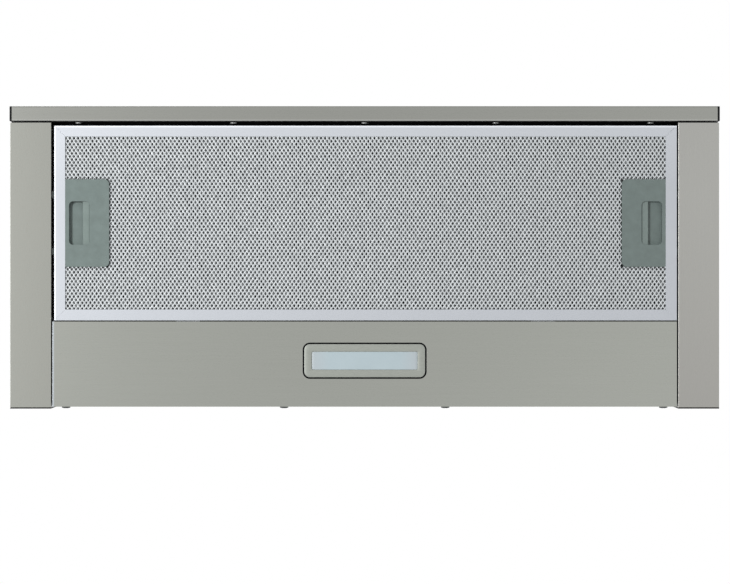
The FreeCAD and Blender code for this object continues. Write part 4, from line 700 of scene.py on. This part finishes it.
# The middle and back meshes get the darker copy of the aluminium: painted shade.
total += mesh_sheet("middle_mesh", "hood", "filter_core", field_x, field_y, MIDDLE_LEVELS,
                    COARSE_CELL, "shaded_inner_mesh", slant=0.3, shake=(0.25, 0.25, 0.1), seed=5,
                    skip=under_handle)
total += mesh_sheet("back_mesh", "hood", "filter_back_mesh", field_x, field_y, back_z,
                    COARSE_CELL, "shaded_inner_mesh", slant=0.12, shake=BACK_SHAKE, seed=6,
                    phase=(0.3, 0.4))
print("lower filter meshes:", total, "triangles")

# %% [markdown]
# ## Handles and latches
#
# Each handle is a moulded plate with a finger pocket, and the finger bar belongs to the latch
# that slides behind it. Mouldings have no sharp edges at all, so every edge gets the same
# small radius.
#
# In the picture each pocket has a narrow sharp shadow along its left and front walls only,
# while the steel shows no bright spot. A lamp steep enough for that shadow would mirror in the
# steel, so each handle has a small lamp of its own, which lights nothing else and shows in no
# gloss, and the key lamp leaves the handles out.

# %% Handles
HANDLE_RADIUS, LATCH_RADIUS = 0.35, 0.7
POCKET_LAMP_SIZE = 0.15
POCKET_LAMPS = {"left": ((-0.36, -0.14, -1.0), 8.6), "right": ((-0.5, -0.14, -1.0), 5.4)}
left_out = bpy.data.collections.new("not_lit_by_key")
for side, (place, power) in POCKET_LAMPS.items():
    pieces = [softened("handle_" + side, HANDLE_RADIUS),
              softened("filter_latch_" + side, LATCH_RADIUS, finish_name="latch_plastic")]
    low, high = extent("handle_" + side)
    target = Vector((low + high) / 2 * MM)
    lamp = add_lamp("pocket_" + side, target + Vector(place), POCKET_LAMP_SIZE, power, target)
    lamp.visible_glossy = False
    lit = bpy.data.collections.new("lit_by_pocket_" + side)
    for piece in pieces:
        lit.objects.link(piece)
        left_out.objects.link(piece)
    lamp.light_linking.receiver_collection = lit
for entry in left_out.collection_objects:
    entry.light_linking.link_state = "EXCLUDE"
bpy.data.objects["key_below"].light_linking.receiver_collection = left_out
print("two handles, two latches, a lamp for each pair")

# %% [markdown]
# Each latch has a coil spring behind it, hidden in the handle. Its wire is a circle carried
# along a helix whose first and last turns lie close together. The spring stays on the hood
# while the latch moves.

# %% Latch springs
WIRE, TURNS, LATCH_TRAVEL = 0.27, 8, 5.0
END_RISE = 2.2 * WIRE


def coil(low, high, steps=20, around=8):
    """Points and faces of a coil along X in a box: a ring of wire at each step of the helix.

    The helix rises by END_RISE in its first and last turn and evenly between them. A ring's
    points are its centre plus WIRE times the outward and lengthwise directions.
    """
    turn = np.linspace(0, TURNS, TURNS * steps + 1)
    length = high[0] - low[0] - 2 * WIRE
    rise = np.interp(turn, [0, 1, TURNS - 1, TURNS], [0, END_RISE, length - END_RISE, length])
    angle = 2 * math.pi * turn
    outward = np.column_stack([np.zeros(len(turn)), np.cos(angle), np.sin(angle)])
    centres = outward * ((high[2] - low[2]) / 2 - WIRE) + (low + high) / 2
    centres[:, 0] = low[0] + WIRE + rise
    spokes = np.linspace(0, 2 * math.pi, around, endpoint=False)[None, :, None]
    rings = centres[:, None] + WIRE * (np.cos(spokes) * outward[:, None]
                                       + np.sin(spokes) * np.array([1.0, 0, 0]))
    end = np.arange(around)
    faces = grid_faces(around, len(turn)).tolist()
    faces += [end[::-1].tolist(), (end + (len(turn) - 1) * around).tolist()]
    return rings.reshape(-1, 3), faces


for side in ("left", "right"):
    node = "latch_spring_" + side
    low, high = extent(node)
    points, faces = coil(low, high)
    spring = add_piece("coil_" + side, points, faces, body_of_node[node], "spring_steel", [node])
    seat = np.array([high[0] if side == "left" else low[0], *((low + high) / 2)[1:]])
    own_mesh(spring)
print("two springs of", TURNS, "turns")

# %% [markdown]
# ## Lamp
#
# A black rubber seal fills the groove between the bezel and the panel. It is a round cord, so
# its surface is a small circle carried along a rounded rectangle.

# %% Lamp seal
CORNER_STEPS = 8
LOOP = 4 * (CORNER_STEPS + 1)
LAMP_HALF, LAMP_CORNER, GROOVE = np.array([51.0, 14.0]), 4.8, 1.3
SEAL_RADIUS, SEAL_LEVEL, SEAL_POINTS = 0.72, 0.75, 10


def rounded_loop(centre, half, radius, offset=0.0):
    """LOOP points of a closed path in the plane: a rectangle with rounded corners.

    Each corner point is the corner's centre plus (radius + offset) times the direction of the
    turn, so every offset has the same number of points and they face each other.
    """
    quarter = np.linspace(0, 90, CORNER_STEPS + 1)
    turn = np.radians(np.arange(4)[:, None] * 90 + quarter[None])
    out = np.stack([np.cos(turn), np.sin(turn)], -1)
    signs = np.array([(1, 1), (-1, 1), (-1, -1), (1, -1)])[:, None]
    corner = np.asarray(centre) + signs * (np.asarray(half) - radius)
    return (corner + out * (radius + offset)).reshape(-1, 2)


def lifted(loop, level):
    """The points of a flat loop at one level."""
    return np.column_stack([loop, np.full(len(loop), level)])


bezel_low, bezel_high = extent("lamp_bezel")
lamp_middle = (bezel_low[:2] + bezel_high[:2]) / 2
seal = np.stack([lifted(rounded_loop(lamp_middle, LAMP_HALF, LAMP_CORNER,
                                     GROOVE / 2 + SEAL_RADIUS * math.cos(turn)),
                        SEAL_LEVEL + SEAL_RADIUS * math.sin(turn))
                 for turn in np.linspace(0, 2 * math.pi, SEAL_POINTS, endpoint=False)], 1)
add_piece("lamp_seal", seal.reshape(-1, 3), grid_faces(SEAL_POINTS, LOOP, closed=True), "hood",
          "black_plastic", finish_name="seal_rubber")
print("lamp seal round", (2 * LAMP_HALF).tolist(), "mm")

# %% [markdown]
# A near-black strip lies on each trim's sheet at its front end, in the slot behind the closed
# bar. It is painted shade: a dark piece that stands for the shadow in the slot. Each is a plain
# box.

# %% Dark strips in the slot, painted shade
SHADE_STRIP_GAP, SHADE_STRIP_LENGTH, SHADE_STRIP_INSET, SHADE_STRIP_LEVELS = 0.3, 4.5, 1.1, (1.02, 2.7)
BOX_FACES = np.array([(0, 1, 3, 2), (4, 6, 7, 5), (0, 4, 5, 1), (2, 3, 7, 6), (0, 2, 6, 4),
                      (1, 5, 7, 3)])
slot_back = bar_high[1] + SHADE_STRIP_GAP
for side in ("left", "right"):
    low, high = extent("side_trim_" + side)
    spans = ((low[0] + SHADE_STRIP_INSET, high[0] - SHADE_STRIP_INSET), (slot_back, slot_back + SHADE_STRIP_LENGTH),
             SHADE_STRIP_LEVELS)
    box = np.array(np.meshgrid(*spans, indexing="ij")).reshape(3, -1).T
    # Painted shade: near-black boxes that stand for the shadow in the slot.
    add_piece("painted_shade_strip_" + side, box, BOX_FACES, "hood", "black_plastic",
              finish_name="seal_rubber", smooth=False)
print("foam strips from y", round(slot_back, 2))

# %% [markdown]
# The bezel is one moulded ring: a flat face with soft edges that the lamp shines past, a lip
# behind the panel that holds it, and a reflector wall up to the board. Its cross section is a
# list of loops, each with its own half size, corner and height, and because all loops have the
# same number of points they join into one closed surface. The lens is the same idea with a
# slightly crowned middle, whose rings are given as shares of its outline.

# %% Bezel and lens
LENS_CORNER, WALL, SHEET, LIP_TOP = 1.2, 1.6, 1.0, 2.6
SOFT, BREAK = 0.35, 0.1
lens_low, lens_high = extent("lamp_lens")
lens_half = (lens_high[:2] - lens_low[:2]) / 2
lip_half = (bezel_high[:2] - bezel_low[:2]) / 2
lip_corner = LAMP_CORNER + lip_half[0] - LAMP_HALF[0]
section = [
    (LAMP_HALF, LAMP_CORNER, SHEET), (LAMP_HALF, LAMP_CORNER, SOFT),
    (LAMP_HALF - BREAK, LAMP_CORNER - BREAK, BREAK), (LAMP_HALF - SOFT, LAMP_CORNER - SOFT, 0.0),
    (lens_half + SOFT, LENS_CORNER + SOFT, 0.0), (lens_half + BREAK, LENS_CORNER + BREAK, BREAK),
    (lens_half, LENS_CORNER, SOFT), (lens_half, LENS_CORNER, bezel_high[2]),
    (lens_half + WALL, LENS_CORNER + WALL, bezel_high[2]),
    (lens_half + WALL, LENS_CORNER + WALL, LIP_TOP), (lip_half, lip_corner, LIP_TOP),
    (lip_half, lip_corner, SHEET)]
loops = np.stack([lifted(rounded_loop(lamp_middle, half, corner), level)
                  for half, corner, level in section], 1)
add_piece("bezel_ring", loops.reshape(-1, 3), grid_faces(len(section), LOOP, closed=True),
          "hood", "bezel_plastic", ["lamp_bezel"], crease=40)

RINGS = np.array([0.0, 0.25, 0.5, 0.7, 0.85, 0.95, 0.99, 1.0])
CROWN, RIM_STEP, PANE_GAP, PANE_LIFT = 0.25, 0.25, 0.05, 0.13
levels = (lens_low[2] + CROWN * RINGS ** 2 - 0.5 * CROWN + np.where(RINGS == 1, RIM_STEP, 0)
          + PANE_LIFT)
outline = rounded_loop((0, 0), lens_half - PANE_GAP, LENS_CORNER)
pane = [lifted(ring * outline + lamp_middle, level) for ring, level in zip(RINGS, levels)]
pane += [lifted(ring * outline + lamp_middle, lens_high[2]) for ring in (1, 0)]
add_piece("lens_pane", np.concatenate(pane), grid_faces(LOOP, len(pane)), "hood", "lens",
          ["lamp_lens"], merge=True, crease=40)
print("bezel", (2 * LAMP_HALF).tolist(), "lens", (2 * lens_half).round(1).tolist())

# %% [markdown]
# ## Screws
#
# All screws have a pan head with a cross recess. The head is a surface over a disc: its height
# is a dome, less a cross that gets shallower towards its tips. The points lie on rings round
# the axis, and the rings go on down the rim and the shank, so one grid makes a whole screw.
# Nobody turns screws to the same angle, so each screw that stands for a node of the imported
# model is twisted a step further than the one before; the housing's added screws are not turned.

# %% Screws
HEAD_RINGS = np.array([0, 0.1, 0.2, 0.3, 0.4, 0.5, 0.6, 0.75, 0.9, 1.0])
DOME_DROP, RIM_SHARE = 0.45, 0.3
CROSS_REACH, CROSS_DEPTH, BAR_HALF, BAR_SLOPE = 0.62, 0.7, 0.2125, 0.085
FIRST_TWIST, TWIST_STEP = 0.6, 1.3


def cross_screw(radius, height, shank_radius, length, spokes=40):
    """Points and faces of a screw along +Z whose head sits on z = 0.

    Height over the disc is height times (1 - DOME_DROP (r / radius) squared) less the recess.
    The recess is its depth times (1 - r / reach) inside either bar of the cross, whose walls
    rise within BAR_SLOPE of the radius.
    """
    turn = np.linspace(0, 2 * math.pi, spokes, endpoint=False)
    r, angle = np.meshgrid(HEAD_RINGS * radius, turn, indexing="ij")
    x, y = r * np.cos(angle), r * np.sin(angle)
    aside = np.minimum(abs(x), abs(y)) / radius
    inside = np.clip((BAR_HALF - aside) / BAR_SLOPE, 0, 1)
    recess = CROSS_DEPTH * height * np.clip(1 - r / (CROSS_REACH * radius), 0, 1) * inside
    top = height * (1 - DOME_DROP * (r / radius) ** 2) - recess
    rest = [(radius, RIM_SHARE * height), (radius, 0), (shank_radius, 0), (shank_radius, -length)]
    below = np.array([(a * np.cos(turn), a * np.sin(turn), np.full(spokes, b)) for a, b in rest])
    rings = np.concatenate([np.stack([x, y, top], -1), below.transpose(0, 2, 1)])
    faces = grid_faces(spokes, len(rings)).tolist()
    faces.append(((len(rings) - 1) * spokes + np.arange(spokes)).tolist())
    return rings.reshape(-1, 3), faces


def screw_set(name, places, outward, screw, twists, **piece):
    """One object with a copy of a screw at each place, its head pointing outward."""
    points, faces = screw
    turn = np.array(Vector(outward).to_track_quat("Z", "Y").to_matrix())
    spin = np.array([[(math.cos(twist), -math.sin(twist), 0),
                      (math.sin(twist), math.cos(twist), 0), (0, 0, 1)] for twist in twists])
    copies = points @ spin.transpose(0, 2, 1) @ turn.T + np.asarray(places)[:, None]
    all_faces = [[k + n * len(points) for k in face] for n in range(len(places)) for face in faces]
    return add_piece(name, copies.reshape(-1, 3), all_faces, crease=50, **piece)


def node_screws(name, node, places, outward, finish_name=None, **sizes):
    """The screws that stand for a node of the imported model."""
    twists = FIRST_TWIST + TWIST_STEP * np.arange(len(places))
    screw_set(name, places, outward, cross_screw(**sizes), twists, body=body_of_node[node],
              slot=slot_of_node[node], replaced=[node], finish_name=finish_name, merge=True)


PANEL_PLACES, PANEL_LEVEL = (-252.4, -68.1, 68.1, 252.4), 6
low, high = extent("panel_screws")
seat = panel_high[1]
node_screws("rear_screws", "panel_screws", [(x, seat, PANEL_LEVEL) for x in PANEL_PLACES],
            (0, 1, 0), radius=3.6, height=high[1] - seat, shank_radius=1.6,
            length=seat - low[1], finish_name="dark_screw_steel")

FASCIA_PLACES, FASCIA_LEVEL, FASCIA_HEAD = (-242, -111, 0, 111, 242), 8.5, 1.1
low, high = extent("fascia_screws")
seat = high[1] - FASCIA_HEAD
node_screws("front_screws", "fascia_screws", [(x, seat, FASCIA_LEVEL) for x in FASCIA_PLACES],
            (0, 1, 0), radius=2.9, height=FASCIA_HEAD, shank_radius=1.4, length=seat - low[1])

COLLAR_RADIUS, COLLAR_HEAD = 3, 1.5
low, high = extent("spigot_screws")
seat, middle = high[2] - COLLAR_HEAD, (low + high) / 2
reach = (high[0] - low[0]) / 2 - COLLAR_RADIUS
collar_places = [(middle[0] + a * reach, middle[1] + b * reach, seat) for a in (-1, 1)
                 for b in (-1, 1)]
node_screws("collar_screws", "spigot_screws", collar_places, (0, 0, 1), radius=COLLAR_RADIUS,
            height=COLLAR_HEAD, shank_radius=1.6, length=seat - low[2])
print(len(PANEL_PLACES) + len(FASCIA_PLACES) + len(collar_places), "screws")

# %% [markdown]
# ## Housing
#
# The body above the tray is zinc coated sheet, folded at the corners, with beads pressed into
# it so that it doesn't drum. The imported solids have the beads, and here their edges and the
# corners get the radius that a press leaves.

# %% Sheet metal pieces
RADII = {"housing_walls": 0.9, "housing_top": 0.9, "tray_top": 0.9, "mounting_bracket_left": 0.4,
         "mounting_bracket_right": 0.4, "carriage_frame": 0.4, "fascia_end_caps": 0.4,
         "trim_rear_caps": 0.12, "terminal_box": 0.8, "terminal_lid": 0.6, "control_strip": 0.3,
         "switch_module": 0.5, "slide_outer_rails": 0.3, "slide_inner_rails": 0.3,
         "rear_rail": 0.4, "carriage_filter_frame": 0.4}
for node, radius in RADII.items():
    softened(node, radius, segments=2)
housing_low, housing_high = extent("housing_walls")
lid_low, lid_high = extent("housing_top")
print("housing in", housing_low.round(1), lid_high.round(1))

# %% [markdown]
# The box is screwed to the tray through its foot flanges, its lid is held by four screws and
# each bracket by four more. Only the scene has them: they hold nothing that moves.

# %% Screws of the housing
FOOT_LEVEL, FOOT_ACROSS, FOOT_ALONG = 41.8, (-225, -112, 0, 112, 225), (-84, 9, 102)
FOOT_INSET_FRONT, FOOT_INSET_SIDE = 2.5, 4
LID_LEVEL, LID_ACROSS, LID_INSET = 203, (-250, 250), 11
BRACKET_ALONG, BRACKET_LEVELS = (-72, 91), (79, 101)


def loose_screws(name, places, outward, radius, height):
    """Heads with a short shank on the hood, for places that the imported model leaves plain."""
    screw = cross_screw(radius, height, shank_radius=0.4 * radius, length=0.5, spokes=24)
    screw_set(name, places, outward, screw, np.zeros(len(places)), body="hood",
              slot="screw_steel")


foot_places = [(x, housing_low[1] + FOOT_INSET_FRONT, FOOT_LEVEL) for x in FOOT_ACROSS]
foot_places += [(side * (housing_high[0] - FOOT_INSET_SIDE), y, FOOT_LEVEL) for side in (-1, 1)
                for y in FOOT_ALONG]
lid_places = [(x, y, LID_LEVEL) for x in LID_ACROSS
              for y in (lid_low[1] + LID_INSET, lid_high[1] - LID_INSET)]
loose_screws("foot_screws", foot_places, (0, 0, 1), radius=2.1, height=1.3)
loose_screws("lid_screws", lid_places, (0, 0, 1), radius=2.6, height=0.9)
for side, name in ((-1, "left"), (1, "right")):
    face_x = extent("mounting_bracket_" + name)[side > 0][0]
    places = [(face_x, y, z) for y in BRACKET_ALONG for z in BRACKET_LEVELS]
    loose_screws("bracket_screws_" + name, places, (side, 0, 0), radius=2.4, height=1.2)
print(len(foot_places), "screws on the foot,", len(lid_places), "on the lid")

# %% [markdown]
# ## The filter in the carriage
#
# Behind the front bar a second filter slides out. It has the same expanded metal on its
# underside, and a coarser sheet on top that shows when the hood is seen from above.

# %% Meshes of the carriage filter
FRAME_GAP, SHEET_GAP, FACE_THICK, TOP_THICK = 0.4, 0.1, 0.6, 0.7
low, high = extent("carriage_filter_mesh")
wide, deep = ((low[axis] + FRAME_GAP, high[axis] - FRAME_GAP) for axis in (0, 1))
lower, upper = low[2] + SHEET_GAP, high[2] - SHEET_GAP
face_sheet("carriage_mesh", "carriage", "carriage_filter_mesh", wide, deep,
           (lower, lower + FACE_THICK), (7, 8))
mesh_sheet("carriage_mesh_top", "carriage", "carriage_filter_mesh", wide, deep,
           (upper - TOP_THICK, upper), COARSE_CELL, slant=0.15, shake=BACK_SHAKE, seed=9)
print("carriage mesh from", low.round(2), "to", high.round(2))

# %% [markdown]
# ## Numerals
#
# The two sliding switches behind the front bar have plain numerals above their stops: 0 to 3
# for the fan and 0 and 1 for the lamp. They are printed, so each is a text made into a mesh
# and laid a hair in front of the strip.

# %% Switch numerals
NUMERAL, FONT_SHARE, STOP = 1.9, 1.45, 10
PRINT_THICKNESS, PRINT_GAP, PRINT_DROP = 0.02, 0.03, 2.2


def numeral(text):
    """Points in millimetres and faces of one numeral that lies in the XY plane."""
    curve = bpy.data.curves.new("numeral", "FONT")
    curve.body = text
    curve.size = NUMERAL * FONT_SHARE * MM
    curve.align_x = "CENTER"
    curve.extrude = PRINT_THICKNESS * MM
    curve.resolution_u = 3
    holder = bpy.data.objects.new("numeral", curve)
    bpy.context.scene.collection.objects.link(holder)
    bpy.context.view_layer.update()
    mesh = bpy.data.meshes.new_from_object(
        holder.evaluated_get(bpy.context.evaluated_depsgraph_get()))
    bpy.data.objects.remove(holder)
    places = np.empty(len(mesh.vertices) * 3)
    mesh.vertices.foreach_get("co", places)
    return places.reshape(-1, 3) / MM, [list(polygon.vertices) for polygon in mesh.polygons]


strip_low, strip_high = extent("control_strip")
print_y, print_z = strip_low[1] - PRINT_GAP, strip_high[2] - PRINT_DROP
points, faces, start = [], [], 0
for knob, stops in (("speed_knob", 4), ("light_knob", 2)):
    knob_low, knob_high = extent(knob)
    for stop in range(stops):
        flat, polygons = numeral(str(stop))
        x = (knob_low[0] + knob_high[0]) / 2 + STOP * stop
        points.append(np.column_stack([flat[:, 0] + x, print_y - flat[:, 2],
                                       flat[:, 1] + print_z]))
        faces += [[k + start for k in polygon] for polygon in polygons]
        start += len(flat)
add_piece("switch_numerals", np.concatenate(points), faces, "hood", "knob_plastic", smooth=False)
print(len(points), "numerals", NUMERAL, "mm high")

# %% [markdown]
# ## All other nodes
#
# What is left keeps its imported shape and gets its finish. A node that isn't named in the list
# of softened pieces is a plain turned or moulded part whose shape already shows.

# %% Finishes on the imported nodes
for name, node in frame["nodes"].items():
    if not node.hide_render:
        node.data.materials.clear()
        node.data.materials.append(finishes[slot_of_node[name]])
print("finished", len(frame["nodes"]), "nodes")
